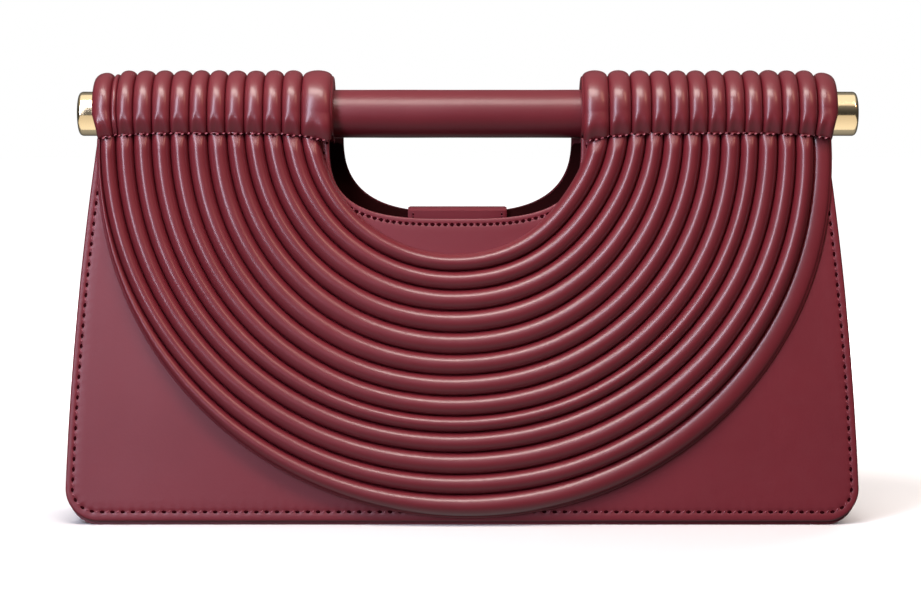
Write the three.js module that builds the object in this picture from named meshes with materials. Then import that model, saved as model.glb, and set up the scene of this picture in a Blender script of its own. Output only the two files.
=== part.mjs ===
// A stiff leather bag with a bar handle, in millimetres, +Z up, standing on its base.
// The front faces -Y. The origin is the centre of the base, on the surface that the bag stands on.
//
// Two leather panels lean towards each other and are closed by a gusset that runs down one side,
// along the base and up the other side. Thirteen padded ribs lie on the front in nested arcs.
// Both ends of the ribs run up to a seam, above which a ribbed sleeve goes round the handle bar.
// The mouth of the bag is the slot between the two panels, under the bar.

import * as THREE from "three";

// Panels
const BASE_WIDTH = 301.5; // widest, just above the bottom corners
const TOP_WIDTH = 278; // at the panel's top edge
const SIDE_BOW = 1.8; // how far each side edge bulges out from a straight line
const CORNER_RADIUS = 12.5;
const BASE_DEPTH = 50; // over both panels, at the base
const TOP_DEPTH = 20; // over both panels, at their top edge
const PANEL_THICKNESS = 2;
const LINING_THICKNESS = 1;
const LINING_DROP = 2; // from the panel's top edge to the lining's
const GUSSET_THICKNESS = 2;
const LAYER_GAP = 0.3; // between two layers that are sewn or glued together
const CORNER_STEPS = 5;
const SIDE_STEPS = 7;

// Handle
const BAR_HEIGHT = 155.9; // height of the bar's axis
const BAR_DIAMETER = 18.4;
const HANDLE_LENGTH = 300; // over the two end caps
const HANDLE_CENTRE = 2.2; // the bar sits a little to the right
const CAP_DIAMETER = 17;
const CAP_LENGTH = 16;
const CAP_EDGE_RADIUS = 1.6;
const CAP_EDGE_STEPS = 3;
const CAP_DOME = 0.5; // how far the cap's end face swells
const ROUND_SIDES = 28;

// Seam where the front ribs end and the sleeves round the bar begin
const SEAM_DROP = 7.7; // from the bar's axis down to the seam
const SEAM_HEIGHT = BAR_HEIGHT - SEAM_DROP;
const SEAM_DEPTH = 12.6; // from the bar's axis to the outside of the sleeve at the seam
const SEAM_DIP_INNER = 3.2; // the seam sinks towards the inner end of each sleeve
const SEAM_DIP_OUTER = 2; // and towards its outer end
const SEAM_PINCH = 0.4; // height of a rib where the seam crosses it, as a share of the whole rib
const PANEL_TUCK = 1.7; // from the seam down to the panels' top edge
const PANEL_TOP = SEAM_HEIGHT - PANEL_TUCK;

// Hand opening, cut down into the top edge of both panels
const OPENING_CENTRE = -1.8; // the opening is cut a little to the left
const FRONT_OPENING_WIDTH = 97.5;
const FRONT_OPENING_BOTTOM = 114.5;
const BACK_OPENING_WIDTH = 89.5;
const BACK_OPENING_BOTTOM = 118.2;
const OPENING_SQUARENESS = 3; // 2 is an ellipse, more is squarer
const OPENING_STEPS = 20;

// Sleeves, sewn round the bar
const SLEEVES_WIDTH = 283.2; // over both sleeves
const SLEEVES_CENTRE = 1.1;
const HAND_GAP = 94; // clear length of bar between the two sleeves
const SLEEVE_FIT = 0.4; // radial play of the bar in its sleeve
const SLEEVE_WALL = 1.2;
const SLEEVE_RIB_HEIGHT = 5.9;
const SLEEVE_VALLEY = 0.42; // height of the leather between two ribs, as a share of the ribs
const SLEEVE_END_RADIUS = 5; // rounding of the outermost ribs

// Ribs on the front
const RIB_HEIGHT = 5.2;
const RIB_GAP = 0.3; // between two ribs
const RIB_MARGIN_OPENING = 1.6; // from the opening's edge to the first rib, at the seam
const RIB_MARGIN_SIDE = 0.9; // from the panel's side to the last rib, at the seam
const RIB_DROP = 12; // from the opening's bottom to the first rib, in the middle
const RIB_RISE = 3; // from the base to the last rib, in the middle
const PINCH_LENGTH = 7; // over which a rib gains its full height below the seam
const RIB_STEPS_INNER = 15;
const RIB_STEPS_OUTER = 26;
const BACKING_THICKNESS = 0.8; // of the leather that all the ribs are sewn to
const BACKING_MARGIN = 1.3; // of the backing past the first and last rib

// Width of each rib, as a multiple of the mean, at five places round the bag. The rib next to the
// opening comes first. On the left, the two outermost ribs are squeezed.
const RIBS = [
  { sleeveLeft: 1.6, seamLeft: 0.95, bottom: 0.85, seamRight: 1.05, sleeveRight: 1.37 },
  { sleeveLeft: 1.02, seamLeft: 1.05, bottom: 0.95, seamRight: 1.05, sleeveRight: 1.18 },
  { sleeveLeft: 1.0, seamLeft: 1.0, bottom: 1.05, seamRight: 0.95, sleeveRight: 1.07 },
  { sleeveLeft: 1.0, seamLeft: 1.0, bottom: 1.1, seamRight: 0.95, sleeveRight: 1.02 },
  { sleeveLeft: 1.01, seamLeft: 0.95, bottom: 1.1, seamRight: 1.05, sleeveRight: 0.97 },
  { sleeveLeft: 0.96, seamLeft: 1.05, bottom: 1.05, seamRight: 1.0, sleeveRight: 1.0 },
  { sleeveLeft: 0.94, seamLeft: 1.05, bottom: 1.05, seamRight: 1.0, sleeveRight: 0.96 },
  { sleeveLeft: 1.02, seamLeft: 0.95, bottom: 1.0, seamRight: 1.05, sleeveRight: 1.0 },
  { sleeveLeft: 0.97, seamLeft: 1.0, bottom: 0.85, seamRight: 0.95, sleeveRight: 0.95 },
  { sleeveLeft: 1.0, seamLeft: 0.95, bottom: 1.0, seamRight: 1.05, sleeveRight: 1.03 },
  { sleeveLeft: 0.88, seamLeft: 0.95, bottom: 1.1, seamRight: 0.95, sleeveRight: 0.92 },
  { sleeveLeft: 0.3, seamLeft: 0.75, bottom: 1.0, seamRight: 0.95, sleeveRight: 0.96 },
  { sleeveLeft: 1.0, seamLeft: 0.3, bottom: 1.1, seamRight: 0.9, sleeveRight: 1.09 },
];

// Cross-section of a front rib: across its width from the inner side, and up to its height.
const RIB_SECTION = [
  { across: 0, rise: 0 },
  { across: 0.03, rise: 0.5 },
  { across: 0.22, rise: 0.9 },
  { across: 0.5, rise: 1 },
  { across: 0.78, rise: 0.9 },
  { across: 0.97, rise: 0.5 },
  { across: 1, rise: 0 },
];

// Cross-section of a sleeve's rib, from its inner side up to the valley before the next rib.
const SLEEVE_SECTION = [
  { across: 0, rise: SLEEVE_VALLEY },
  { across: 0.2, rise: 0.88 },
  { across: 0.5, rise: 1 },
  { across: 0.8, rise: 0.88 },
];

// Closing tab, folded over the back panel's edge in the middle of the opening
const TAB_WIDTH = 38.5;
const TAB_LEATHER = 1.3;
const TAB_MAGNET_LEG = 2.6; // thickness of the inner leg, which holds a magnet
const TAB_INNER_LENGTH = 20;
const TAB_OUTER_LENGTH = 11;

const LEAN = Math.atan((BASE_DEPTH - TOP_DEPTH) / 2 / PANEL_TOP);
const BORE_RADIUS = BAR_DIAMETER / 2 + SLEEVE_FIT;
const WALL_RADIUS = BORE_RADIUS + SLEEVE_WALL;
const GUSSET_TOP = BAR_HEIGHT - WALL_RADIUS - LAYER_GAP;

const { lerp, smoothstep } = THREE.MathUtils;

function leather(color, roughness) {
  return new THREE.MeshStandardMaterial({ color, roughness, metalness: 0 });
}

const PANEL_LEATHER = leather(0x7b3540, 0.5);
const RIB_LEATHER = leather(0x7d303b, 0.38);
const BAR_LEATHER = leather(0x7a2d38, 0.45);
const LINING_CLOTH = leather(0x26100f, 0.9);
const GOLD = new THREE.MeshStandardMaterial({ color: 0xe8c47a, roughness: 0.15, metalness: 1 });

function piece(name, geometry, material) {
  const mesh = new THREE.Mesh(geometry, material);
  mesh.name = name;
  return mesh;
}

// Length along a leaning panel that rises to a height above the ground.
function alongPanel(height) {
  return height / Math.cos(LEAN);
}

// Distance from the bag's middle plane to a panel's inner face.
function innerFace(height) {
  return BASE_DEPTH / 2 - PANEL_THICKNESS * Math.cos(LEAN) - height * Math.tan(LEAN);
}

// A closed solid through a row of sections, each a list of points in the same order round it.
// The row closes on itself, or ends in two flat caps. Its faces are turned outwards at the end.
function loft(sections, isRing) {
  const count = sections[0].length;
  const points = sections.flat();
  const spans = isRing ? sections.length : sections.length - 1;
  const faces = [];
  for (let row = 0; row < spans; row++) {
    const here = row * count;
    const next = ((row + 1) % sections.length) * count;
    for (let i = 0; i < count; i++) {
      const j = (i + 1) % count;
      faces.push([here + i, here + j, next + j], [here + i, next + j, next + i]);
    }
  }
  if (!isRing) {
    const last = points.length - count;
    for (let i = 1; i < count - 1; i++) {
      faces.push([0, i + 1, i], [last, last + i, last + i + 1]);
    }
  }
  const volume = faces.reduce(
    (sum, [a, b, c]) => sum + points[a].dot(points[b].clone().cross(points[c])),
    0,
  );
  const geometry = new THREE.BufferGeometry().setFromPoints(points);
  geometry.setIndex(faces.map((face) => (volume > 0 ? face : face.reverse())).flat());
  return geometry;
}

// The arc from one point of a panel down and round to another, clockwise, through a third.
function arcThrough(start, middle, end) {
  const a = middle.clone().sub(start);
  const b = end.clone().sub(start);
  const cross = 2 * a.cross(b);
  const centre = new THREE.Vector2(
    start.x + (b.y * a.lengthSq() - a.y * b.lengthSq()) / cross,
    start.y + (a.x * b.lengthSq() - b.x * a.lengthSq()) / cross,
  );
  const radius = centre.distanceTo(start);
  const from = Math.atan2(start.y - centre.y, start.x - centre.x);
  const to = Math.atan2(end.y - centre.y, centre.x - end.x);
  const sweep = -Math.PI - from - to;
  return {
    length: radius * Math.abs(sweep),
    at: (share, grow = 0) =>
      new THREE.Vector2(Math.cos(from + sweep * share), Math.sin(from + sweep * share))
        .multiplyScalar(radius + grow)
        .add(centre),
  };
}

// Half the panel's width at a height above the ground, along its bowed side edge.
function halfWidth(height) {
  const share = (height - CORNER_RADIUS) / (PANEL_TOP - CORNER_RADIUS);
  return lerp(BASE_WIDTH, TOP_WIDTH, share) / 2 + 4 * SIDE_BOW * share * (1 - share);
}

// The right half of the outline, from the base round the corner and up the side edge.
// x is across the bag and y is the height above the ground.
function sideOutline(top, inset) {
  const points = [];
  const radius = CORNER_RADIUS - inset;
  for (let i = 0; i <= CORNER_STEPS; i++) {
    const angle = (Math.PI / 2) * (i / CORNER_STEPS);
    const x = BASE_WIDTH / 2 - CORNER_RADIUS + radius * Math.sin(angle);
    points.push(new THREE.Vector2(x, CORNER_RADIUS - radius * Math.cos(angle)));
  }
  for (let i = 1; i <= SIDE_STEPS; i++) {
    const height = lerp(CORNER_RADIUS, top, i / SIDE_STEPS);
    points.push(new THREE.Vector2(halfWidth(height) - inset, height));
  }
  return points;
}

function mirrored(points) {
  return points.map((p) => new THREE.Vector2(-p.x, p.y)).reverse();
}

// Height of the opening's edge at a place across it.
function openingEdge(x, width, bottom, top) {
  const across = Math.abs(x) / (width / 2);
  return lerp(top, bottom, (1 - across ** OPENING_SQUARENESS) ** (1 / OPENING_SQUARENESS));
}

// The edge of the hand opening, from its right end down and round to its left end.
function openingOutline(centre, width, bottom, top) {
  const points = [];
  for (let i = 0; i <= OPENING_STEPS; i++) {
    const cosine = Math.cos(Math.PI * (i / OPENING_STEPS));
    const x = (width / 2) * Math.sign(cosine) * Math.abs(cosine) ** (2 / OPENING_SQUARENESS);
    points.push(new THREE.Vector2(centre + x, openingEdge(x, width, bottom, top)));
  }
  return points;
}

// A plate in the plane of a panel. Its top edge holds the hand opening.
function panelPlate(centre, width, bottom, top, inset, thickness) {
  const right = sideOutline(top, inset);
  const outline = [...right, ...openingOutline(centre, width, bottom, top), ...mirrored(right)];
  const shape = new THREE.Shape(outline.map((p) => new THREE.Vector2(p.x, alongPanel(p.y))));
  return new THREE.ExtrudeGeometry(shape, { depth: thickness, bevelEnabled: false });
}

// A panel and its lining. x is across, y runs up the panel and z points out of the bag, from the
// panel's inner face.
function panelGroup(side, centre, width, bottom) {
  const panel = piece(
    `${side}_panel`,
    panelPlate(centre, width, bottom, PANEL_TOP, 0, PANEL_THICKNESS),
    PANEL_LEATHER,
  );
  const inset = GUSSET_THICKNESS + 2 * LAYER_GAP;
  const top = PANEL_TOP - LINING_DROP;
  const lining = piece(
    `${side}_lining`,
    panelPlate(centre, width, bottom, top, inset, LINING_THICKNESS),
    LINING_CLOTH,
  );
  lining.position.z = -LAYER_GAP - LINING_THICKNESS;
  const group = new THREE.Group();
  group.add(panel, lining);
  group.rotation.x = Math.PI / 2 - LEAN;
  group.position.y = -innerFace(0);
  return group;
}

// The strip between the panels: down one side, along the base and up the other side.
function gussetGeometry() {
  const whole = (inset) => {
    const right = sideOutline(GUSSET_TOP, inset);
    return [...mirrored(right), ...right];
  };
  const outer = whole(0);
  const inner = whole(GUSSET_THICKNESS);
  const sections = outer.map((p, i) => {
    const q = inner[i];
    const outerHalf = innerFace(p.y) - LAYER_GAP;
    const innerHalf = innerFace(q.y) - LAYER_GAP;
    return [
      new THREE.Vector3(p.x, -outerHalf, p.y),
      new THREE.Vector3(p.x, outerHalf, p.y),
      new THREE.Vector3(q.x, innerHalf, q.y),
      new THREE.Vector3(q.x, -innerHalf, q.y),
    ];
  });
  return loft(sections, false);
}

// How far the seam sinks at a place along a sleeve: 0 is its inner end, 1 its outer end.
function seamDip(along) {
  const edge = 2 * along - 1;
  return (edge < 0 ? SEAM_DIP_INNER : SEAM_DIP_OUTER) * edge ** 4;
}

// Where the ribs part, from 0 at the inner end of the band to 1 at the outer end.
function ribEdges(place) {
  const whole = RIBS.reduce((sum, rib) => sum + rib[place], 0);
  const edges = [0];
  for (const rib of RIBS) edges.push(edges[edges.length - 1] + rib[place] / whole);
  return edges;
}

// The arcs between the ribs on the front panel, from the right seam to the left seam.
function ribArcs() {
  const half = FRONT_OPENING_WIDTH / 2 + RIB_MARGIN_OPENING;
  const side = halfWidth(PANEL_TOP) - RIB_MARGIN_SIDE;
  const right = ribEdges("seamRight");
  const bottom = ribEdges("bottom");
  const left = ribEdges("seamLeft");
  const seam = (along) => alongPanel(SEAM_HEIGHT - seamDip(along)) - 3 * LAYER_GAP;
  return bottom.map((share, i) =>
    arcThrough(
      new THREE.Vector2(lerp(OPENING_CENTRE + half, side, right[i]), seam(right[i])),
      new THREE.Vector2(
        lerp(OPENING_CENTRE, 0, share),
        alongPanel(lerp(FRONT_OPENING_BOTTOM - RIB_DROP, RIB_RISE, share)),
      ),
      new THREE.Vector2(lerp(OPENING_CENTRE - half, -side, left[i]), seam(left[i])),
    ),
  );
}

// One padded rib between two arcs. It is thin at the seams, where the stitching pinches it.
function ribGeometry(inner, outer, index) {
  const steps = Math.round(lerp(RIB_STEPS_INNER, RIB_STEPS_OUTER, index / (RIBS.length - 1)));
  const pinch = PINCH_LENGTH / inner.length;
  const places = [0, pinch / 2];
  for (let i = 0; i <= steps; i++) places.push(lerp(pinch, 1 - pinch, i / steps));
  places.push(1 - pinch / 2, 1);
  const floor = 2 * LAYER_GAP + BACKING_THICKNESS;
  const sections = places.map((share) => {
    const a = inner.at(share, RIB_GAP / 2);
    const b = outer.at(share, -RIB_GAP / 2);
    const fullness = smoothstep(Math.min(share, 1 - share), 0, pinch);
    const height = RIB_HEIGHT * lerp(SEAM_PINCH, 1, fullness);
    return RIB_SECTION.map((p) => {
      const at = a.clone().lerp(b, p.across);
      return new THREE.Vector3(at.x, at.y, floor + p.rise * height);
    });
  });
  return loft(sections, false);
}

// The thin leather under all the ribs. It never reaches past the panel's side edge.
function backingGeometry(arcs) {
  const places = Array.from({ length: RIB_STEPS_OUTER + 1 }, (_, i) => i / RIB_STEPS_OUTER);
  const within = (p) => {
    const room = halfWidth(p.y * Math.cos(LEAN)) - LAYER_GAP;
    return new THREE.Vector2(THREE.MathUtils.clamp(p.x, -room, room), p.y);
  };
  const outer = places.map((share) => within(arcs[RIBS.length].at(share, BACKING_MARGIN)));
  const inner = places.map((share) => arcs[0].at(share, -BACKING_MARGIN)).reverse();
  return new THREE.ExtrudeGeometry(new THREE.Shape([...outer, ...inner]), {
    depth: BACKING_THICKNESS,
    bevelEnabled: false,
  });
}

// Places round the bar where a sleeve's section is drawn, as a share of the way from straight up
// to the seam, and of the way from seam to seam under the bar. The ribs thin out before the seam.
const RIBBED_PLACES = [0, 0.17, 0.34, 0.5, 0.66, 0.8, 0.92, 1];
const PLAIN_PLACES = [0.02, 0.18, 0.34, 0.5, 0.66, 0.82, 0.98];
const THINNING = 0.76;

// A ribbed sleeve round the bar. Its sections go round the bar: from the back seam over the top
// to the front seam with ribs, and back under the bar as a plain wall.
function sleeveGeometry(inner, outer, edges) {
  const length = Math.abs(outer - inner);
  const across = edges
    .slice(0, -1)
    .flatMap((edge, i) =>
      SLEEVE_SECTION.map((p) => ({ along: lerp(edge, edges[i + 1], p.across), rise: p.rise })),
    );
  across[0].rise = 0;
  across.push({ along: 1, rise: 0 });

  // The seam's angle round the bar from straight up, and its distance from the bar's axis.
  const seamAngle = (along) => Math.PI / 2 + Math.atan2(SEAM_DROP + seamDip(along), SEAM_DEPTH);
  const seamReach = (along) => Math.hypot(SEAM_DROP + seamDip(along), SEAM_DEPTH);
  // How full a rib is at a place along the sleeve, because both ends are rounded off.
  const endRounding = (along) => {
    const depth = Math.min(along, 1 - along) * length;
    return Math.sqrt(1 - Math.max(0, 1 - depth / SLEEVE_END_RADIUS) ** 2);
  };
  const point = (along, angle, radius) =>
    new THREE.Vector3(
      lerp(inner, outer, along),
      -radius * Math.sin(angle),
      BAR_HEIGHT + radius * Math.cos(angle),
    );
  const section = (angle, radius) => [
    ...across.map((p) => point(p.along, angle(p.along), radius(p))),
    point(1, angle(1), BORE_RADIUS),
    point(0, angle(0), BORE_RADIUS),
  ];

  const ribbed = (share) => {
    const thinning = smoothstep(Math.abs(share), THINNING, 1);
    return section(
      (along) => share * seamAngle(along),
      (p) => {
        const reach = seamReach(p.along);
        const crest = lerp(WALL_RADIUS + SLEEVE_RIB_HEIGHT, reach, thinning);
        const valley = lerp(WALL_RADIUS, reach - SLEEVE_RIB_HEIGHT * SEAM_PINCH, thinning);
        return lerp(valley, crest, p.rise * endRounding(p.along));
      },
    );
  };
  const plain = (share) =>
    section(
      (along) => lerp(seamAngle(along), 2 * Math.PI - seamAngle(along), share),
      () => WALL_RADIUS,
    );

  const sections = [
    ...RIBBED_PLACES.slice(1).reverse().map((share) => ribbed(-share)),
    ...RIBBED_PLACES.map(ribbed),
    ...PLAIN_PLACES.map(plain),
  ];
  return loft(sections, true);
}

// A gold cap, along +Y from the end of the bar.
function capGeometry() {
  const radius = CAP_DIAMETER / 2;
  const profile = [new THREE.Vector2(0, 0), new THREE.Vector2(radius, 0)];
  for (let i = 0; i <= CAP_EDGE_STEPS; i++) {
    const angle = (Math.PI / 2) * (i / CAP_EDGE_STEPS);
    profile.push(
      new THREE.Vector2(
        radius - CAP_EDGE_RADIUS * (1 - Math.cos(angle)),
        CAP_LENGTH - CAP_DOME - CAP_EDGE_RADIUS * (1 - Math.sin(angle)),
      ),
    );
  }
  profile.push(new THREE.Vector2(0, CAP_LENGTH));
  return new THREE.LatheGeometry(profile, ROUND_SIDES);
}

// The tab over the back panel's edge: an outer leg, a fold and a thicker inner leg. x runs up the
// panel and y points out of the bag, from the panel's inner face.
function tabGeometry() {
  const top = PANEL_TOP;
  const edge = openingEdge(TAB_WIDTH / 2, BACK_OPENING_WIDTH, BACK_OPENING_BOTTOM, top);
  const seat = alongPanel(edge) + LAYER_GAP;
  const outside = PANEL_THICKNESS + LAYER_GAP;
  const inside = -LINING_THICKNESS - 2 * LAYER_GAP;
  const shape = new THREE.Shape([
    new THREE.Vector2(seat - TAB_OUTER_LENGTH, outside),
    new THREE.Vector2(seat, outside),
    new THREE.Vector2(seat, inside),
    new THREE.Vector2(seat - TAB_INNER_LENGTH, inside),
    new THREE.Vector2(seat - TAB_INNER_LENGTH, inside - TAB_MAGNET_LEG),
    new THREE.Vector2(seat, inside - TAB_MAGNET_LEG),
    new THREE.Vector2(seat + TAB_LEATHER, inside - TAB_MAGNET_LEG + TAB_LEATHER),
    new THREE.Vector2(seat + TAB_LEATHER, outside),
    new THREE.Vector2(seat, outside + TAB_LEATHER),
    new THREE.Vector2(seat - TAB_OUTER_LENGTH, outside + TAB_LEATHER),
  ]);
  return new THREE.ExtrudeGeometry(shape, { depth: TAB_WIDTH, bevelEnabled: false });
}

const bag = new THREE.Group();

const front = panelGroup("front", OPENING_CENTRE, FRONT_OPENING_WIDTH, FRONT_OPENING_BOTTOM);
const arcs = ribArcs();
const backing = piece("rib_backing", backingGeometry(arcs), PANEL_LEATHER);
backing.position.z = PANEL_THICKNESS + LAYER_GAP;
front.add(backing);
RIBS.forEach((_, i) => {
  const name = `rib_${String(i + 1).padStart(2, "0")}`;
  const rib = piece(name, ribGeometry(arcs[i], arcs[i + 1], i), RIB_LEATHER);
  rib.position.z = PANEL_THICKNESS;
  front.add(rib);
});
bag.add(front);

const back = panelGroup("back", -OPENING_CENTRE, BACK_OPENING_WIDTH, BACK_OPENING_BOTTOM);
const tab = piece("closing_tab", tabGeometry(), PANEL_LEATHER);
tab.rotation.set(Math.PI / 2, Math.PI / 2, 0);
tab.position.x = -OPENING_CENTRE - TAB_WIDTH / 2;
back.add(tab);
const turnedBack = new THREE.Group();
turnedBack.rotation.z = Math.PI;
turnedBack.add(back);
bag.add(turnedBack);

bag.add(piece("gusset", gussetGeometry(), PANEL_LEATHER));

const sleeves = [
  { side: "left", sign: -1 },
  { side: "right", sign: 1 },
];
for (const { side, sign } of sleeves) {
  const innerEnd = OPENING_CENTRE + (sign * HAND_GAP) / 2;
  const outerEnd = SLEEVES_CENTRE + (sign * SLEEVES_WIDTH) / 2;
  const edges = ribEdges(sign < 0 ? "sleeveLeft" : "sleeveRight");
  bag.add(piece(`sleeve_${side}`, sleeveGeometry(innerEnd, outerEnd, edges), RIB_LEATHER));

  const cap = piece(`end_cap_${side}`, capGeometry(), GOLD);
  cap.rotation.z = (-sign * Math.PI) / 2;
  cap.position.set(HANDLE_CENTRE + sign * (HANDLE_LENGTH / 2 - CAP_LENGTH), 0, BAR_HEIGHT);
  bag.add(cap);
}

const barLength = HANDLE_LENGTH - 2 * (CAP_LENGTH + LAYER_GAP);
const bar = piece(
  "handle_bar",
  new THREE.CylinderGeometry(BAR_DIAMETER / 2, BAR_DIAMETER / 2, barLength, ROUND_SIDES),
  BAR_LEATHER,
);
bar.rotation.z = Math.PI / 2;
bar.position.set(HANDLE_CENTRE, 0, BAR_HEIGHT);
bag.add(bar);

export default bag;
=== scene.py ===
# %% [markdown]
# # A leather bag with a bar handle
#
# The bag is a stiff leather trapezoid. Thirteen padded ribs sweep over its front in nested half
# rings, and at both ends they run up to a seam, above which a ribbed sleeve holds the handle bar.
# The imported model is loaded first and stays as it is: it gives every size and place. Each leather
# piece is then modelled again with its turned edges, padding and stitches.

# %% Load the frame
import math

import bmesh
import bpy
import numpy as np
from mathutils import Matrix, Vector, geometry


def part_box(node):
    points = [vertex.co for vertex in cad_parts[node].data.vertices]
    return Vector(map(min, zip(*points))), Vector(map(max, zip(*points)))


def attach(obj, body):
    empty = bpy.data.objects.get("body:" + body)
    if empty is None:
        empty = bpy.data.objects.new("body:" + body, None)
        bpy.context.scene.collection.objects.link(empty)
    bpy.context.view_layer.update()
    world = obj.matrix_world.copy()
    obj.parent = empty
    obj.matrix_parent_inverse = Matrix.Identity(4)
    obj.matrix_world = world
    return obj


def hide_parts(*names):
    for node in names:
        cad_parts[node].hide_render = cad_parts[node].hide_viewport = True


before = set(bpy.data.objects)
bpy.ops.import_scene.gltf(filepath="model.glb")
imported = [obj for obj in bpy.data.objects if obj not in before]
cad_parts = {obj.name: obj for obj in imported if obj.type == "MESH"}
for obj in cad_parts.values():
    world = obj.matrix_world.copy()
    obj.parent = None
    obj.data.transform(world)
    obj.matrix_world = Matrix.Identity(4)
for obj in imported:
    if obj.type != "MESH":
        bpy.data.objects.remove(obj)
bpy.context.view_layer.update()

# %% [markdown]
# ## Sizes
#
# Lengths are in millimetres here, because that is how a bag maker measures, and become metres in
# one place, where a mesh is made. What the frame knows is read from its boxes. The rest repeats
# the sizes that the solids were drawn with.

# %% Sizes from the frame and named sizes
MM = 0.001


def box_mm(node):
    """Lowest and highest corner of a solid, in millimetres."""
    low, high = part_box(node)
    return np.array(low) / MM, np.array(high) / MM


panel_low, panel_high = box_mm("front_panel")
bar_low, bar_high = box_mm("handle_bar")
cap_low, cap_high = box_mm("end_cap_right")

BASE_HALF_WIDTH = panel_high[0]
TOP_HALF_WIDTH = 139
SIDE_BOW = 1.8
CORNER_RADIUS = 12.5
BASE_HALF_DEPTH = -panel_low[1]
TOP_HALF_DEPTH = 10
PANEL_TOP = 146.5
PANEL_THICKNESS = 2
PANEL_LIFT = 1.3
LEAN = math.atan((BASE_HALF_DEPTH - TOP_HALF_DEPTH) / PANEL_TOP)

OPENINGS = {
    "front": {"face": -1, "centre": -2.6, "half_width": 48, "bottom": 115.6, "across": 3.2, "down": 3.2},
    "back": {"face": 1, "centre": -1.8, "half_width": 44.3, "bottom": 117.4, "across": 3.0, "down": 2.5},
}

BAR_HEIGHT = (bar_low[2] + bar_high[2]) / 2
BAR_RADIUS = (bar_high[2] - bar_low[2]) / 2
CAP_RADIUS = (cap_high[2] - cap_low[2]) / 2
SEAM_DROP = 7.7
SEAM_DEPTH = {"front": 15.0, "back": 12.6}
SEAM_HEIGHT = BAR_HEIGHT - SEAM_DROP
SEAM_DIP_INNER = 3.2
SEAM_DIP_OUTER = 2
print(f"lean {math.degrees(LEAN):.2f} degrees, bar radius {BAR_RADIUS:.2f}, seam at {SEAM_HEIGHT:.1f}")

# %% [markdown]
# ## Helpers
#
# A few small helpers carry the whole script. One makes an object from points in millimetres, and
# one cleans its mesh. One adds a shader or geometry node with its settings and its links. One turns
# a Geometry Nodes result into a plain mesh, so that nothing live is left on a piece.

# %% Make an object from points in millimetres
def new_object(name, points, faces=(), edges=()):
    mesh = bpy.data.meshes.new(name)
    mesh.from_pydata([tuple(p) for p in np.asarray(points, float) * MM], edges, faces)
    mesh.validate()
    made = bpy.data.objects.new(name, mesh)
    bpy.context.scene.collection.objects.link(made)
    return made


def clean(made, smooth_angle=35, turn_outwards=True):
    """Merges doubles, turns the faces outwards and shades the piece smooth up to an angle."""
    mesh = bmesh.new()
    mesh.from_mesh(made.data)
    bmesh.ops.remove_doubles(mesh, verts=mesh.verts, dist=0.002 * MM)
    bmesh.ops.dissolve_degenerate(mesh, edges=mesh.edges, dist=0.001 * MM)
    if turn_outwards:
        bmesh.ops.recalc_face_normals(mesh, faces=mesh.faces)
    open_edges = sum(1 for e in mesh.edges if len(e.link_faces) != 2)
    mesh.to_mesh(made.data)
    mesh.free()
    made.data.shade_smooth()
    made.data.set_sharp_from_angle(angle=math.radians(smooth_angle))
    print(f"{made.name}: {len(made.data.polygons)} faces, {open_edges} open edges")
    return made


# %% Add a node with its settings and links
def add_node(tree, kind, inputs=None, **settings):
    """inputs maps a socket's name or number to a value, to an output, or to a node's first output."""
    node = tree.nodes.new(kind)
    for name, value in settings.items():
        setattr(node, name, value)
    for key, value in (inputs or {}).items():
        if isinstance(value, bpy.types.Node):
            tree.links.new(value.outputs[0], node.inputs[key])
        elif isinstance(value, bpy.types.NodeSocket):
            tree.links.new(value, node.inputs[key])
        else:
            node.inputs[key].default_value = value
    return node


# %% Turn a Geometry Nodes result into a plain mesh
def new_tree(name, sockets):
    """A Geometry Nodes tree with a geometry input and output and the named inputs."""
    tree = bpy.data.node_groups.new(name, "GeometryNodeTree")
    tree.interface.new_socket("Geometry", in_out="INPUT", socket_type="NodeSocketGeometry")
    for label, kind in sockets.items():
        tree.interface.new_socket(label, in_out="INPUT", socket_type=f"NodeSocket{kind}")
    tree.interface.new_socket("Geometry", in_out="OUTPUT", socket_type="NodeSocketGeometry")
    return tree


def grow(base, tree, name, **values):
    """Runs a tree on base with the given inputs, and returns the plain result as a new object."""
    sockets = {s.name: s.identifier for s in tree.interface.items_tree if s.in_out == "INPUT"}
    modifier = base.modifiers.new(tree.name, "NODES")
    modifier.node_group = tree
    for label, value in values.items():
        modifier[sockets[label.replace("_", " ")]] = value
    base.update_tag()
    graph = bpy.context.evaluated_depsgraph_get()
    mesh = bpy.data.meshes.new_from_object(base.evaluated_get(graph), depsgraph=graph)
    base.modifiers.remove(modifier)
    made = bpy.data.objects.new(name, mesh)
    bpy.context.scene.collection.objects.link(made)
    return made


def join(name, parts):
    """One object from several, which are deleted."""
    with bpy.context.temp_override(active_object=parts[0], selected_editable_objects=parts):
        bpy.ops.object.join()
    parts[0].name = name
    return parts[0]


def loft_faces(rows, count, ring=False):
    """Faces between closed sections of count points. The ends are closed, or meet in a ring."""
    faces = []
    for r in range(rows if ring else rows - 1):
        near, far = r * count, (r + 1) % rows * count
        faces += [(near + i, far + i, far + (i + 1) % count, near + (i + 1) % count) for i in range(count)]
    if not ring:
        faces.append(tuple(range(count)))
        faces.append(tuple(reversed(range((rows - 1) * count, rows * count))))
    return faces


def discard(*objects):
    for item in objects:
        bpy.data.objects.remove(item)


# %% [markdown]
# ## Camera and light
#
# The camera stands level with the handle, 0.9 m from the bag, and looks down by a little over
# four degrees. A long lens keeps the sides nearly straight. The light is a product shot's: a tall
# cool softbox on the left draws a line down each rib, a wide one hangs overhead, a warm strip on
# the right gives thin second lines, and a large one behind lights the back. That last one is kept
# out of reflections, because leather that is seen edge on would mirror it as a white rim.

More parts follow.
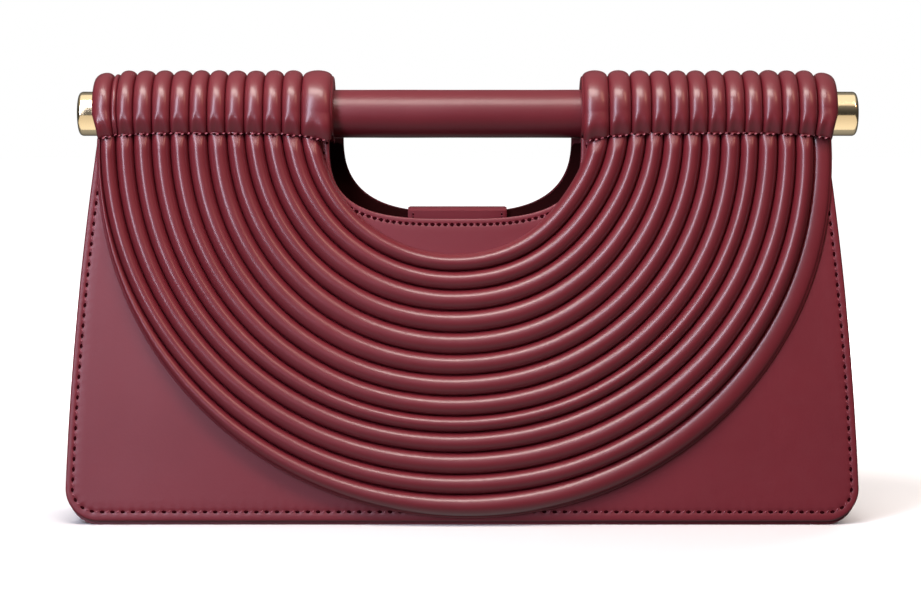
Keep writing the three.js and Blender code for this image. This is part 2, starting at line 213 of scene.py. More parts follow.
# %% Camera
IMAGE_WIDTH = 921
FOCAL_PIXELS = 2328
SENSOR_MM = 36
camera_data = bpy.data.cameras.new("camera")
camera_data.sensor_width = SENSOR_MM
camera_data.lens = SENSOR_MM * FOCAL_PIXELS / IMAGE_WIDTH
camera = bpy.data.objects.new("camera", camera_data)
camera.location = (-0.0006, -0.9, 0.152)
camera.rotation_euler = (math.radians(90 - 4.3), 0, 0)
bpy.context.scene.collection.objects.link(camera)
bpy.context.scene.camera = camera
print(f"lens {camera_data.lens:.1f} mm")


# %% Lights and room
def srgb(code):
    """A hex colour as a linear RGBA value."""
    parts = [int(code[i : i + 2], 16) / 255 for i in (1, 3, 5)]
    linear = [c / 12.92 if c <= 0.04045 else ((c + 0.055) / 1.055) ** 2.4 for c in parts]
    return (*linear, 1.0)


def softbox(name, place, aim, size, watts, tint):
    data = bpy.data.lights.new(name, "AREA")
    data.shape = "RECTANGLE"
    data.size, data.size_y = size
    data.energy = watts
    data.color = srgb(tint)[:3]
    lamp = bpy.data.objects.new(name, data)
    lamp.visible_camera = False
    lamp.location = place
    lamp.rotation_euler = (Vector(aim) - Vector(place)).to_track_quat("-Z", "Y").to_euler()
    bpy.context.scene.collection.objects.link(lamp)
    return lamp


AIM = (0, 0, 0.1)
softbox("key softbox", (-0.44, -0.72, 0.45), AIM, (0.22, 0.78), 7.4, "#E6E9FF")
softbox("top softbox", (-0.1, -0.36, 0.78), AIM, (0.6, 0.22), 5.5, "#FFF3EC")
softbox("warm strip", (0.45, -0.45, 0.7), AIM, (0.05, 0.35), 1.2, "#FFC9A8")
softbox("back softbox", (0.35, 0.9, 0.45), AIM, (1.2, 0.6), 13, "#FFFFFF").visible_glossy = False


def white_room():
    """The camera sees plain white. The fill is dim at the level of the bag, as in a dark studio."""
    world = bpy.data.worlds.new("white room")
    world.use_nodes = True
    tree = world.node_tree
    tree.nodes.clear()
    direction = add_node(tree, "ShaderNodeTexCoord").outputs["Generated"]
    height = add_node(tree, "ShaderNodeSeparateXYZ", {"Vector": direction}).outputs["Z"]
    slope = add_node(tree, "ShaderNodeMath", {0: height, 1: 0.4}, operation="MULTIPLY")
    fill = add_node(tree, "ShaderNodeMath", {0: height, 1: slope, 2: 0.05}, operation="MULTIPLY_ADD")
    seen = add_node(tree, "ShaderNodeLightPath").outputs["Is Camera Ray"]
    strength = add_node(tree, "ShaderNodeMix", {"Factor": seen, "A": fill, "B": 1.0})
    light = add_node(tree, "ShaderNodeBackground", {"Color": (1, 1, 1, 1), "Strength": strength})
    add_node(tree, "ShaderNodeOutputWorld", {"Surface": light})
    return world


bpy.context.scene.world = white_room()
bpy.context.scene.view_settings.view_transform = "Standard"

# %% Floor
FLOOR_HALF = 9000
GLOW_FROM, GLOW_TO = 0.2, 0.6

def white_floor_paint():
    """It glows more and more away from the bag, so that the floor fades into the room."""
    paint = bpy.data.materials.new("white painted floor")
    paint.use_nodes = True
    tree = paint.node_tree
    shader = tree.nodes["Principled BSDF"]
    shader.inputs["Base Color"].default_value = srgb("#F6F5F5")
    shader.inputs["Roughness"].default_value = 0.75
    shader.inputs["Emission Color"].default_value = (1, 1, 1, 1)
    place = add_node(tree, "ShaderNodeTexCoord").outputs["Object"]
    away = add_node(tree, "ShaderNodeVectorMath", {0: place}, operation="LENGTH").outputs["Value"]
    glow = add_node(tree, "ShaderNodeMapRange", {"Value": away, "From Min": GLOW_FROM, "From Max": GLOW_TO})
    tree.links.new(glow.outputs["Result"], shader.inputs["Emission Strength"])
    return paint

corners = [(x * FLOOR_HALF, y * FLOOR_HALF, 0) for x, y in ((-1, -1), (1, -1), (1, 1), (-1, 1))]
floor = new_object("floor", corners, [(0, 1, 2, 3)])
floor.data.materials.append(white_floor_paint())
floor.visible_diffuse = False
floor.visible_glossy = False

# %% [markdown]
# ## Materials
#
# The bag is nappa: smooth, full-grain lambskin or calf, drum dyed and finished with a thin satin
# film. To the eye that gives an even burgundy, a soft milky sheen over the whole surface, crisp
# highlights on tight curves, and a pore pattern that only shows close up. The padded ribs are
# stretched over their cord, so they are a little glossier than the flat panels.

# %% Nappa leather
def nappa(name, colour, deep, roughness, pore_depth_mm, film_weight, film_roughness):
    """Drum-dyed nappa. deep is the colour that the dye settles to in clouds 20 to 30 mm wide."""
    material = bpy.data.materials.new(name)
    material.use_nodes = True
    tree = material.node_tree
    shader = tree.nodes["Principled BSDF"]
    place = add_node(tree, "ShaderNodeTexCoord").outputs["Object"]
    clouds = add_node(tree, "ShaderNodeTexNoise", {"Vector": place, "Scale": 1 / (26 * MM), "Detail": 3.0})
    tint = add_node(
        tree,
        "ShaderNodeMix",
        {"Factor": clouds.outputs["Fac"], 6: srgb(deep), 7: srgb(colour)},
        data_type="RGBA",
    )
    tree.links.new(tint.outputs[2], shader.inputs["Base Color"])
    film = add_node(tree, "ShaderNodeTexNoise", {"Vector": place, "Scale": 1 / (5 * MM), "Detail": 4.0})
    sheen = add_node(
        tree,
        "ShaderNodeMapRange",
        {"Value": film.outputs["Fac"], "To Min": roughness - 0.05, "To Max": roughness + 0.05},
    )
    tree.links.new(sheen.outputs["Result"], shader.inputs["Roughness"])
    # Pores are 0.5 mm apart on the real skin. They are drawn 0.9 mm apart, so that they show.
    pores = add_node(
        tree, "ShaderNodeTexVoronoi", {"Vector": place, "Scale": 1 / (0.9 * MM)}, feature="SMOOTH_F1"
    )
    creases = add_node(
        tree,
        "ShaderNodeTexNoise",
        {"Vector": place, "Scale": 1 / (3.5 * MM), "Detail": 6.0, "Roughness": 0.6},
    )
    grain = add_node(
        tree,
        "ShaderNodeMath",
        {0: pores.outputs["Distance"], 1: 0.35, 2: creases.outputs["Fac"]},
        operation="MULTIPLY_ADD",
    )
    bump = add_node(
        tree,
        "ShaderNodeBump",
        {"Height": grain.outputs["Value"], "Distance": pore_depth_mm * MM, "Strength": 0.6},
    )
    tree.links.new(bump.outputs["Normal"], shader.inputs["Normal"])
    shader.inputs["IOR"].default_value = 1.5
    shader.inputs["Coat Weight"].default_value = film_weight
    shader.inputs["Coat Roughness"].default_value = film_roughness
    return material


panel_nappa = nappa("nappa leather, flat", "#76222C", "#6C1D27", 0.46, 0.08, 0.12, 0.4)
rib_nappa = nappa("nappa leather, stretched over cord", "#74212A", "#691C25", 0.42, 0.05, 0.55, 0.23)
# The bar is the same burgundy nappa as the panels. Its colour is set darker to paint in shade on the bar.
bar_nappa_painted_shade = nappa("nappa leather, wrapped, darkened as painted shade", "#6E1E27", "#641922", 0.42, 0.06, 0.2, 0.3)


# %% Other finishes
def plain_material(name, colour, roughness, metallic=0.0, shine=0.5):
    material = bpy.data.materials.new(name)
    material.use_nodes = True
    shader = material.node_tree.nodes["Principled BSDF"]
    shader.inputs["Base Color"].default_value = srgb(colour)
    shader.inputs["Roughness"].default_value = roughness
    shader.inputs["Metallic"].default_value = metallic
    shader.inputs["Specular IOR Level"].default_value = shine
    return material


edge_paint = plain_material("edge paint, burgundy", "#4E1C23", 0.4)
thread = plain_material("bonded polyester thread", "#8C424D", 0.4)
# The needle holes are dark beads: painted shade that stands for the shadow inside each hole.
needle_hole_painted_shade = plain_material("needle hole, painted shade", "#2C070C", 0.9, shine=0.0)
lining_cloth = plain_material("suede-finish lining", "#2A0B0B", 0.95, shine=0.05)
gold_brass = plain_material("brass, gold plated and polished", "#ECD7AF", 0.14, 1.0)

# %% [markdown]
# ## Panels
#
# Front and back are stiff leather boards, cut to the same outline, and they lean towards each
# other. Their edge is turned and painted, and a row of stitches sinks into the leather a few
# millimetres inside it. A plain extruded plate would show none of that. So each panel is built from
# rings that run round the outline at growing distances from the edge, each at its own height: the
# rounded edge, the raised rim, the furrow under the thread. The field inside is filled with a
# Delaunay net, which takes a few soft hollows, because leather on board is never quite flat.


# %% Where things lie on a leaning panel
def on_panel(x, up, out, face=-1):
    """up runs along the panel from the ground, out is measured from its inner face."""
    x, up, out = np.broadcast_arrays(x, up, out)
    inner = BASE_HALF_DEPTH - PANEL_THICKNESS * math.cos(LEAN)
    depth = inner - up * math.sin(LEAN) + out * math.cos(LEAN)
    height = up * math.cos(LEAN) + out * math.sin(LEAN)
    return np.stack([x, face * depth, height], axis=-1)


def half_width(height):
    share = (height - CORNER_RADIUS) / (PANEL_TOP - CORNER_RADIUS)
    straight = BASE_HALF_WIDTH + (TOP_HALF_WIDTH - BASE_HALF_WIDTH) * share
    return straight + 4 * SIDE_BOW * share * (1 - share)


# %% The outline of a panel, with its hand opening
EDGE_STEP = 0.9


def steps_for(length):
    return max(2, round(length / EDGE_STEP))


def side_edge(top, inset=0.0):
    """The right side from the top down and round the bottom corner, as x and height."""
    height = np.linspace(top, CORNER_RADIUS, steps_for(top - CORNER_RADIUS))
    turn = np.linspace(0, np.pi / 2, steps_for(CORNER_RADIUS * np.pi / 2))[1:]
    radius = CORNER_RADIUS - inset
    x = BASE_HALF_WIDTH - CORNER_RADIUS + radius * np.cos(turn)
    return np.concatenate(
        [
            np.stack([half_width(height) - inset, height], axis=-1),
            np.stack([x, CORNER_RADIUS - radius * np.sin(turn)], axis=-1),
        ]
    )


def opening_edge(opening, top):
    """The hand opening, from its left end down and round to its right end."""
    half = opening["half_width"]
    turn = np.linspace(np.pi, 0, steps_for(np.pi * half))
    x = opening["centre"] + half * np.sign(np.cos(turn)) * np.abs(np.cos(turn)) ** (2 / opening["across"])
    height = top - (top - opening["bottom"]) * np.sin(turn) ** (2 / opening["down"])
    return even_steps(np.stack([x, height], axis=-1))


def even_steps(path):
    """The same open path with points EDGE_STEP apart."""
    length = np.concatenate([[0], np.cumsum(np.linalg.norm(np.diff(path, axis=0), axis=1))])
    places = np.linspace(0, length[-1], steps_for(length[-1]))
    return np.stack([np.interp(places, length, path[:, k]) for k in range(path.shape[1])], axis=-1)


def panel_outline(opening, top, inset=0.0):
    """The closed outline, down the right side, along the base, up the left and round the opening.

    Returns the points as x and up, and the first and last index of the opening's edge.
    """
    right = side_edge(top, inset)
    left = right[::-1] * (-1, 1)
    base = np.linspace(right[-1], left[0], steps_for(right[-1][0] * 2))[1:-1]
    hole = opening_edge(opening, top)
    left_top = np.linspace(left[-1], hole[0], steps_for(hole[0][0] - left[-1][0]))[1:-1]
    right_top = np.linspace(hole[-1], right[0], steps_for(right[0][0] - hole[-1][0]))[1:-1]
    start = len(right) + len(base) + len(left) + len(left_top)
    outline = np.concatenate([right, base, left, left_top, hole, right_top])
    outline[:, 1] += PANEL_LIFT * (1 - outline[:, 1] / PANEL_TOP)
    outline[:, 1] /= math.cos(LEAN)
    return outline, start, start + len(hole)


def inward_normals(outline):
    """Unit steps into the material at each point of a closed clockwise outline, mitred."""
    ahead = np.roll(outline, -1, axis=0) - outline
    ahead /= np.linalg.norm(ahead, axis=1, keepdims=True)
    behind = np.roll(ahead, 1, axis=0)
    turned = np.stack([ahead[:, 1], -ahead[:, 0]], axis=-1)
    turned_behind = np.stack([behind[:, 1], -behind[:, 0]], axis=-1)
    middle = turned + turned_behind
    return middle / np.sum(middle * turned, axis=1, keepdims=True)


# %% The profile of a stitched edge
EDGE_PROFILE = [
    {"inset": 0.0, "rise": -1.55},
    {"inset": 0.0, "rise": -0.6},
    {"inset": 0.05, "rise": -0.25},
    {"inset": 0.13, "rise": -0.04},
    {"inset": 0.24, "rise": 0.06},
    {"inset": 0.62, "rise": 0.1},
    {"inset": 0.82, "rise": -0.02},
    {"inset": 1.0, "rise": -0.22},
    {"inset": 1.18, "rise": -0.02},
    {"inset": 1.5, "rise": 0.08},
    {"inset": 2.4, "rise": 0.03},
    {"inset": 3.6, "rise": 0.0},
]
STITCH_INSET_SIDE = 2.8
STITCH_INSET_BASE = 3.6
STITCH_INSET_OPENING = 2.3
PITCH_SIDE = 3.9
PITCH_OPENING = 2.45
PUCKER = 0.16
PUCKER_REACH = 0.35
PAINTED_RINGS = 3
FIELD_STEP = 5.0
FIELD_SWELL = 0.35
SWELL_FADE = 12


def arc_lengths(path):
    return np.concatenate([[0], np.cumsum(np.linalg.norm(np.diff(path, axis=0), axis=1))])


def stitch_count(path, pitch):
    return round(arc_lengths(path)[-1] / pitch)


def swell(x, up):
    """The soft hollows and swellings of leather on board, in millimetres."""
    slow = np.sin(x / 31 + 1.3) * np.cos(up / 27 + 0.4)
    slower = np.sin(x / 58 - up / 44 + 2.1)
    return FIELD_SWELL * (0.5 * slow + 0.5 * slower)


def fill_loop(loop, spacing=None):
    """Points and triangles that fill a closed loop of x and up, with a net of points inside."""
    points = [Vector(p) for p in loop]
    count = len(points)
    if spacing:
        low, high = loop.min(axis=0), loop.max(axis=0)
        polygon = np.asarray(loop)
        for j, up in enumerate(np.arange(low[1] + spacing, high[1], spacing * 0.87)):
            crossings = crossings_at(polygon, up)
            for x in np.arange(low[0] + spacing * (0.5 + 0.5 * (j % 2)), high[0], spacing):
                if np.sum(crossings < x) % 2 and np.abs(crossings - x).min() > spacing * 0.6:
                    points.append(Vector((x, up)))
    edges = [(i, (i + 1) % count) for i in range(count)]
    found = geometry.delaunay_2d_cdt(points, edges, [], 1, 1e-6)
    return np.array([tuple(p) for p in found[0]]), [list(f) for f in found[2]]


def crossings_at(polygon, up):
    """The places x where a horizontal line crosses a closed polygon."""
    ahead = np.roll(polygon, -1, axis=0)
    cut = (polygon[:, 1] > up) != (ahead[:, 1] > up)
    a, b = polygon[cut], ahead[cut]
    return a[:, 0] + (up - a[:, 1]) / (b[:, 1] - a[:, 1]) * (b[:, 0] - a[:, 0])


# %% Build a panel and its two stitch lines
def build_panel(side):
    """The panel's object, and the paths of its stitches with the pitch of each."""
    opening = OPENINGS[side]
    outline, first, last = panel_outline(opening, PANEL_TOP)
    normals = inward_normals(outline)
    in_opening = np.zeros(len(outline), bool)
    in_opening[first:last] = True
    inset = STITCH_INSET_SIDE + (STITCH_INSET_BASE - STITCH_INSET_SIDE) * np.clip(normals[:, 1], 0, 1) ** 2
    inset[in_opening] = STITCH_INSET_OPENING

    stitch_line = outline + normals * inset[:, None]
    rows = {
        "edge": {"part": slice(0, edge_row_end(outline)), "pitch": PITCH_SIDE},
        "opening": {"part": slice(first, last), "pitch": PITCH_OPENING},
    }
    pucker = np.zeros(len(outline))
    for row in rows.values():
        path = stitch_line[row["part"]]
        phase = arc_lengths(path) / arc_lengths(path)[-1] * stitch_count(path, row["pitch"])
        pucker[row["part"]] = PUCKER * np.cos(2 * np.pi * phase)
        row["path"] = path

    rings = []
    for step in EDGE_PROFILE:
        ring = outline + normals * (inset * step["inset"])[:, None]
        near = max(0.0, 1 - abs(step["inset"] - 1) / PUCKER_REACH)
        out = PANEL_THICKNESS + step["rise"] + near * pucker
        rings.append(on_panel(ring[:, 0], ring[:, 1], out, opening["face"]))
    field_loop = ring
    back_ring = on_panel(outline[:, 0], outline[:, 1], 0.0, opening["face"])

    count = len(outline)
    points = [back_ring] + rings
    faces = []
    for level in range(len(rings)):
        near, far = level * count, (level + 1) * count
        faces += [(near + i, near + (i + 1) % count, far + (i + 1) % count, far + i) for i in range(count)]
    painted = PAINTED_RINGS * count

    field, field_faces = fill_loop(field_loop, FIELD_STEP)
    fade = np.clip(distance_to(field, field_loop) / SWELL_FADE, 0, 1)
    fade = fade * fade * (3 - 2 * fade)
    out = PANEL_THICKNESS + EDGE_PROFILE[-1]["rise"] + swell(field[:, 0], field[:, 1]) * fade
    start = sum(len(p) for p in points)
    points.append(on_panel(field[:, 0], field[:, 1], out, opening["face"]))
    faces += [[start + k for k in f] for f in field_faces]

    plain, plain_faces = fill_loop(outline)
    start += len(field)
    points.append(on_panel(plain[:, 0], plain[:, 1], 0.0, opening["face"]))
    faces += [[start + k for k in f] for f in plain_faces]

    panel = new_object(f"{side}_board", np.concatenate(points), faces)
    panel.data.materials.append(panel_nappa)
    panel.data.materials.append(edge_paint)
    panel.data.polygons.foreach_set("material_index", [1] * painted + [0] * (len(faces) - painted))
    return clean(panel, 50), rows


def edge_row_end(outline):
    """The index after the last outline point of the left side, where it reaches the top."""
    rising = np.flatnonzero(outline[:, 1] >= PANEL_TOP / math.cos(LEAN) - 1e-6)
    return rising[1] + 1


def distance_to(points, loop):
    return np.array([np.linalg.norm(loop - p, axis=1).min() for p in points])


boards = {side: build_panel(side) for side in OPENINGS}

# %% [markdown]
# ## Padded ribs
#
# Each rib is a cord of foam laid on the backing, with the leather stretched over it and sewn down
# in the two furrows beside it. The furrows are simple curves, so they are drawn first, and a
# Geometry Nodes tree lays a rib between any two of them: it takes a straight rib of length one and
# width one, reads both curves at the same share of their length, and lifts each point off the line
# between them. Near a seam the padding is pinched flat and creased in the middle. The same tree
# makes the ribs on the front and the ribs of the sleeves. Cloth simulation would swell these thin
# cords unevenly, and they are stretched tight, so their shape follows the rule closely.

# %% The furrows between the front ribs
RING_CENTRE = (-0.76, 146.6)
RINGS = {
    "angle": [0, 30, 60, 90, 120, 150, 180],
    "inner": [49.0, 44.6, 43.8, 43.8, 45.7, 49.3, 53.4],
    "outer": [140.8, 144.6, 145.0, 143.2, 142.4, 140.8, 137.6],
}
RIB_WIDTHS = {
    "angle": [0, 90, 135, 180],
    "shares": [
        (1.05, 0.85, 0.90, 1.05),
        (1.05, 0.94, 1.00, 1.15),
        (0.96, 1.04, 1.13, 1.10),
        (0.96, 1.09, 1.05, 1.10),
        (1.05, 1.09, 1.13, 1.05),
        (1.01, 1.04, 1.13, 1.15),
        (1.01, 1.04, 1.04, 1.15),
        (1.05, 1.00, 1.04, 1.05),
        (0.96, 0.82, 0.95, 1.10),
        (1.05, 1.00, 1.00, 1.05),
        (0.96, 1.09, 1.00, 1.05),
        (0.96, 1.00, 0.92, 0.90),
        (0.90, 1.08, 0.73, 0.13),
    ],
}
RIBS = len(RIB_WIDTHS["shares"])
FURROW_POINTS = 220


def seam_dip(along):
    """How far the seam sinks at a place along a sleeve: 0 is its inner end, 1 its outer end."""
    edge = 2 * along - 1
    return np.where(edge < 0, SEAM_DIP_INNER, SEAM_DIP_OUTER) * edge**4


def smooth_through(places, values, at):
    """A smooth curve through a few values, with the same slope on both sides of each."""
    places, values = np.asarray(places, float), np.asarray(values, float)
    slopes = np.gradient(values, places)
    k = np.clip(np.searchsorted(places, at) - 1, 0, len(places) - 2)
    span = places[k + 1] - places[k]
    t = (at - places[k]) / span
    return (
        (2 * t**3 - 3 * t**2 + 1) * values[k]
        + (t**3 - 2 * t**2 + t) * span * slopes[k]
        + (3 * t**2 - 2 * t**3) * values[k + 1]
        + (t**3 - t**2) * span * slopes[k + 1]
    )


def ring_shares(angle):
    """Where the furrows lie between the inner and the outer ring, a row for each furrow."""
    columns = np.array(RIB_WIDTHS["shares"]).T
    columns = columns / columns.sum(axis=1, keepdims=True)
    edges = np.concatenate([np.zeros((len(columns), 1)), np.cumsum(columns, axis=1)], axis=1)
    return np.array([smooth_through(RIB_WIDTHS["angle"], edges[:, i], angle) for i in range(RIBS + 1)])


def furrow_radius(index, angle):
    """How far a furrow lies from the middle of the rings, at angles in degrees."""
    inner = smooth_through(RINGS["angle"], RINGS["inner"], angle)
    outer = smooth_through(RINGS["angle"], RINGS["outer"], angle)
    return inner + (outer - inner) * ring_shares(angle)[index]

def furrow(index):
    """x and up of a furrow, from the right seam down and round to the left seam."""
    ends = []
    for end_angle in (0.0, 180.0):
        at = np.array([end_angle])
        seam_up = (SEAM_HEIGHT - float(seam_dip(ring_shares(at)[index][0]))) / math.cos(LEAN)
        ends.append(math.degrees(math.asin((RING_CENTRE[1] - seam_up) / furrow_radius(index, at)[0])))
    angle = np.linspace(ends[0], 180 - ends[1], FURROW_POINTS)
    turn = np.radians(angle)
    away = np.stack([np.cos(turn), -np.sin(turn)], axis=-1)
    return RING_CENTRE + furrow_radius(index, angle)[:, None] * away


RIB_FLOOR = 3.1
RIB_HEIGHT = 4.9
front_furrows = [furrow(i) for i in range(RIBS + 1)]
print("outermost furrow:", arc_lengths(front_furrows[-1])[-1].round(), "mm long")

# %% The furrows of the sleeves
SLEEVES = {
    "left": {
        "inner": -48.8,
        "outer": -140.5,
        "shares": [1.6, 1.02, 1, 1, 1.01, 0.96, 0.94, 1.02, 0.97, 1, 0.88, 0.3, 1],
    },
    "right": {
        "inner": 45.2,
        "outer": 142.7,
        "shares": [1.37, 1.18, 1.07, 1.02, 0.97, 1, 0.96, 1, 0.95, 1.03, 0.92, 0.96, 1.09],
    },
}
SLEEVE_FLOOR = 13.0
SLEEVE_CREST = 16.7
SLEEVE_FLOOR_END = 11.0
SLEEVE_PINCHED = 0.7
SLEEVE_RIB_HEIGHT = SLEEVE_CREST - SLEEVE_FLOOR
FLANGE_WIDTH = 0.9
END_DRAW = 1.8


def seam_place(along, face):
    """The seam's angle round the bar from straight up, and how far it lies from the axis."""
    drop = SEAM_DROP + seam_dip(along)
    return np.pi / 2 + np.arctan2(drop, SEAM_DEPTH[face]), np.hypot(drop, SEAM_DEPTH[face])


def smooth(value, low, high):
    t = np.clip((value - low) / (high - low), 0, 1)
    return t * t * (3 - 2 * t)


def round_bar(x, angle, radius):
    """A place round the bar. The angle runs from straight up towards the front."""
    x, angle, radius = np.broadcast_arrays(x, angle, radius)
    return np.stack([x, -radius * np.sin(angle), BAR_HEIGHT + radius * np.cos(angle)], axis=-1)


def rib_edges(sleeve):
    """Where the ribs of a sleeve begin and end: 0 is its inner end, 1 its outer end."""
    shares = np.array(sleeve["shares"]) / sum(sleeve["shares"])
    return np.concatenate([[0], np.cumsum(shares)])

def sleeve_furrow(along, x, floor):
    """The line between two ribs of a sleeve, from the back seam over the bar to the front seam.

    The outermost lines are drawn in where they meet the seam.
    """
    share = np.linspace(-1, 1, FURROW_POINTS)
    drawn_in = END_DRAW * np.maximum(0, 2 * along - 1) ** 6 * smooth(np.abs(share), 0.72, 1)
    x = x - np.sign(x) * drawn_in
    back_angle, back_reach = seam_place(along, "back")
    front_angle, front_reach = seam_place(along, "front")
    end = np.where(share < 0, back_reach, front_reach) - SLEEVE_PINCHED * SLEEVE_RIB_HEIGHT
    radius = floor + (end - floor) * smooth(np.abs(share), 0.7, 1)
    return round_bar(x, share * np.where(share < 0, back_angle, front_angle), radius)


def sleeve_furrows(sleeve):
    """All the furrows of a sleeve, from its inner end out."""
    edges = rib_edges(sleeve)
    sign = np.sign(sleeve["outer"] - sleeve["inner"])
    start = sleeve["inner"] + sign * FLANGE_WIDTH
    lines = []
    for i, along in enumerate(edges):
        floor = SLEEVE_FLOOR_END if i == RIBS else SLEEVE_FLOOR
        lines.append(sleeve_furrow(along, start + (sleeve["outer"] - start) * along, floor))
    return lines


# %% A straight rib of length one and width one
RIB_ROWS = 200
SECTION_STEPS = 14
SECTION_SQUARENESS = 0.95
SLEEVE_SQUARENESS = 0.64
END_CROWDING = 0.45


def unit_rib(squareness):
    """A closed rib on the X axis, which carries its own coordinates as three attributes."""
    turn = np.linspace(0, np.pi, SECTION_STEPS + 1)
    across = 0.5 - 0.5 * np.cos(turn)
    rise = np.sin(turn) ** squareness
    rise[[0, -1]] = 0
    t = np.linspace(0, 1, RIB_ROWS + 1)
    along = (1 - END_CROWDING) * t + END_CROWDING * (0.5 - 0.5 * np.cos(np.pi * t))
    count = len(across)
    grid = np.array([[(s, a, r) for a, r in zip(across, rise)] for s in along]).reshape(-1, 3)
    rib = new_object("unit_rib", grid / MM, loft_faces(RIB_ROWS + 1, count))
    for k, name in enumerate(("along", "across", "rise")):
        attribute = rib.data.attributes.new(name, "FLOAT", "POINT")
        attribute.data.foreach_set("value", np.ascontiguousarray(grid[:, k], dtype=np.float32))
    return rib


# %% The tree that lays a rib between two furrows
NARROW_SHARE = 0.25
CREASE_PLACE = 0.46
CREASE_WIDE = 0.42
CREASE_NARROW = 0.22
WAVE_LENGTH = 16


def rib_tree():
    tree = new_tree(
        "lay rib",
        {
            "Inner furrow": "Object",
            "Outer furrow": "Object",
            "Height": "Float",
            "Full width": "Float",
            "Start share": "Float",
            "Pinch length": "Float",
            "Pinched share": "Float",
            "Crease depth": "Float",
            "Crease length": "Float",
            "Waviness": "Float",
            "Seed": "Float",
            "Leather": "Material",
        },
    )
    given = add_node(tree, "NodeGroupInput").outputs
    along, across, rise = (
        add_node(tree, "GeometryNodeInputNamedAttribute", {"Name": name}, data_type="FLOAT")
        for name in ("along", "across", "rise")
    )
    curves = [
        add_node(tree, "GeometryNodeObjectInfo", {"Object": given[label]}).outputs["Geometry"]
        for label in ("Inner furrow", "Outer furrow")
    ]
    inner, outer = (
        add_node(
            tree,
            "GeometryNodeSampleCurve",
            {"Curves": c, "Factor": along},
            mode="FACTOR",
            use_all_curves=True,
        ).outputs
        for c in curves
    )

    # The frame: a point between the furrows, and the way out of the panel there.
    sideways = add_node(
        tree, "ShaderNodeVectorMath", {0: outer["Position"], 1: inner["Position"]}, operation="SUBTRACT"
    )
    step = add_node(tree, "ShaderNodeVectorMath", {0: sideways, "Scale": across}, operation="SCALE")
    base = add_node(tree, "ShaderNodeVectorMath", {0: inner["Position"], 1: step}, operation="ADD")
    forward = add_node(
        tree, "ShaderNodeVectorMath", {0: inner["Tangent"], 1: outer["Tangent"]}, operation="ADD"
    )
    normal = add_node(tree, "ShaderNodeVectorMath", {0: forward, 1: sideways}, operation="CROSS_PRODUCT")
    outwards = add_node(tree, "ShaderNodeVectorMath", {0: normal}, operation="NORMALIZE")

    # The padding: full along most of the rib, pinched at both ends.
    length = add_node(tree, "GeometryNodeCurveLength", {"Curve": curves[0]})
    other_end = add_node(tree, "ShaderNodeMath", {0: 1.0, 1: along}, operation="SUBTRACT")
    nearer = add_node(tree, "ShaderNodeMath", {0: along, 1: other_end}, operation="MINIMUM")
    to_end = add_node(tree, "ShaderNodeMath", {0: nearer, 1: length}, operation="MULTIPLY")
    pinched = add_node(
        tree,
        "ShaderNodeMapRange",
        {"Value": to_end, "From Max": given["Pinch length"], "To Min": given["Pinched share"]},
        interpolation_type="SMOOTHSTEP",
    )

    # A rib stands lower where it is narrow, and the outermost one is flatter near its start.
    width = add_node(tree, "ShaderNodeVectorMath", {0: sideways}, operation="LENGTH").outputs["Value"]
    by_width = add_node(
        tree, "ShaderNodeMapRange", {"Value": width, "From Max": given["Full width"], "To Min": NARROW_SHARE}
    )
    by_place = add_node(
        tree,
        "ShaderNodeMapRange",
        {"Value": along, "From Min": 0.1, "From Max": 0.5, "To Min": given["Start share"]},
        interpolation_type="SMOOTHSTEP",
    )
    both_shares = add_node(tree, "ShaderNodeMath", {0: by_width, 1: by_place}, operation="MULTIPLY")
    fullness = add_node(tree, "ShaderNodeMath", {0: pinched, 1: both_shares}, operation="MULTIPLY")

    # The crease: a hollow down the middle, wide at the seam and gone after the crease length.
    off_middle = add_node(tree, "ShaderNodeMath", {0: across, 1: CREASE_PLACE}, operation="SUBTRACT")
    aside = add_node(tree, "ShaderNodeMath", {0: off_middle}, operation="ABSOLUTE")
    reach = add_node(
        tree,
        "ShaderNodeMapRange",
        {"Value": to_end, "From Max": given["Crease length"], "To Min": CREASE_WIDE, "To Max": CREASE_NARROW},
    )
    depth = add_node(
        tree,
        "ShaderNodeMapRange",
        {"Value": to_end, "From Max": given["Crease length"], "To Min": given["Crease depth"], "To Max": 0.0},
        interpolation_type="SMOOTHSTEP",
    )
    crease = add_node(
        tree,
        "ShaderNodeMapRange",
        {"Value": aside, "From Max": reach, "To Min": depth, "To Max": 0.0},
        interpolation_type="SMOOTHSTEP",
    )

    # The height, with a slow wave, because padding is never quite even.
    wobble = add_node(
        tree,
        "ShaderNodeTexNoise",
        {"W": given["Seed"], "Scale": 1 / (WAVE_LENGTH * MM), "Detail": 2.0, "Vector": base},
        noise_dimensions="4D",
    )
    centred = add_node(tree, "ShaderNodeMath", {0: wobble, 1: 0.5}, operation="SUBTRACT")
    wave = add_node(tree, "ShaderNodeMath", {0: centred, 1: given["Waviness"]}, operation="MULTIPLY")
    uncreased = add_node(tree, "ShaderNodeMath", {0: 1.0, 1: crease}, operation="SUBTRACT")
    share = add_node(tree, "ShaderNodeMath", {0: fullness, 1: uncreased}, operation="MULTIPLY")
    height = add_node(
        tree, "ShaderNodeMath", {0: share, 1: given["Height"], 2: wave}, operation="MULTIPLY_ADD"
    )
    lift = add_node(tree, "ShaderNodeMath", {0: rise, 1: height}, operation="MULTIPLY")
    offset = add_node(tree, "ShaderNodeVectorMath", {0: outwards, "Scale": lift}, operation="SCALE")
    place = add_node(tree, "ShaderNodeVectorMath", {0: base, 1: offset}, operation="ADD")

    laid = add_node(tree, "GeometryNodeSetPosition", {"Geometry": given["Geometry"], "Position": place})
    whole = add_node(tree, "GeometryNodeRealizeInstances", {"Geometry": laid})
    dyed = add_node(tree, "GeometryNodeSetMaterial", {"Geometry": whole, "Material": given["Leather"]})
    add_node(tree, "NodeGroupOutput", {"Geometry": dyed})
    return tree


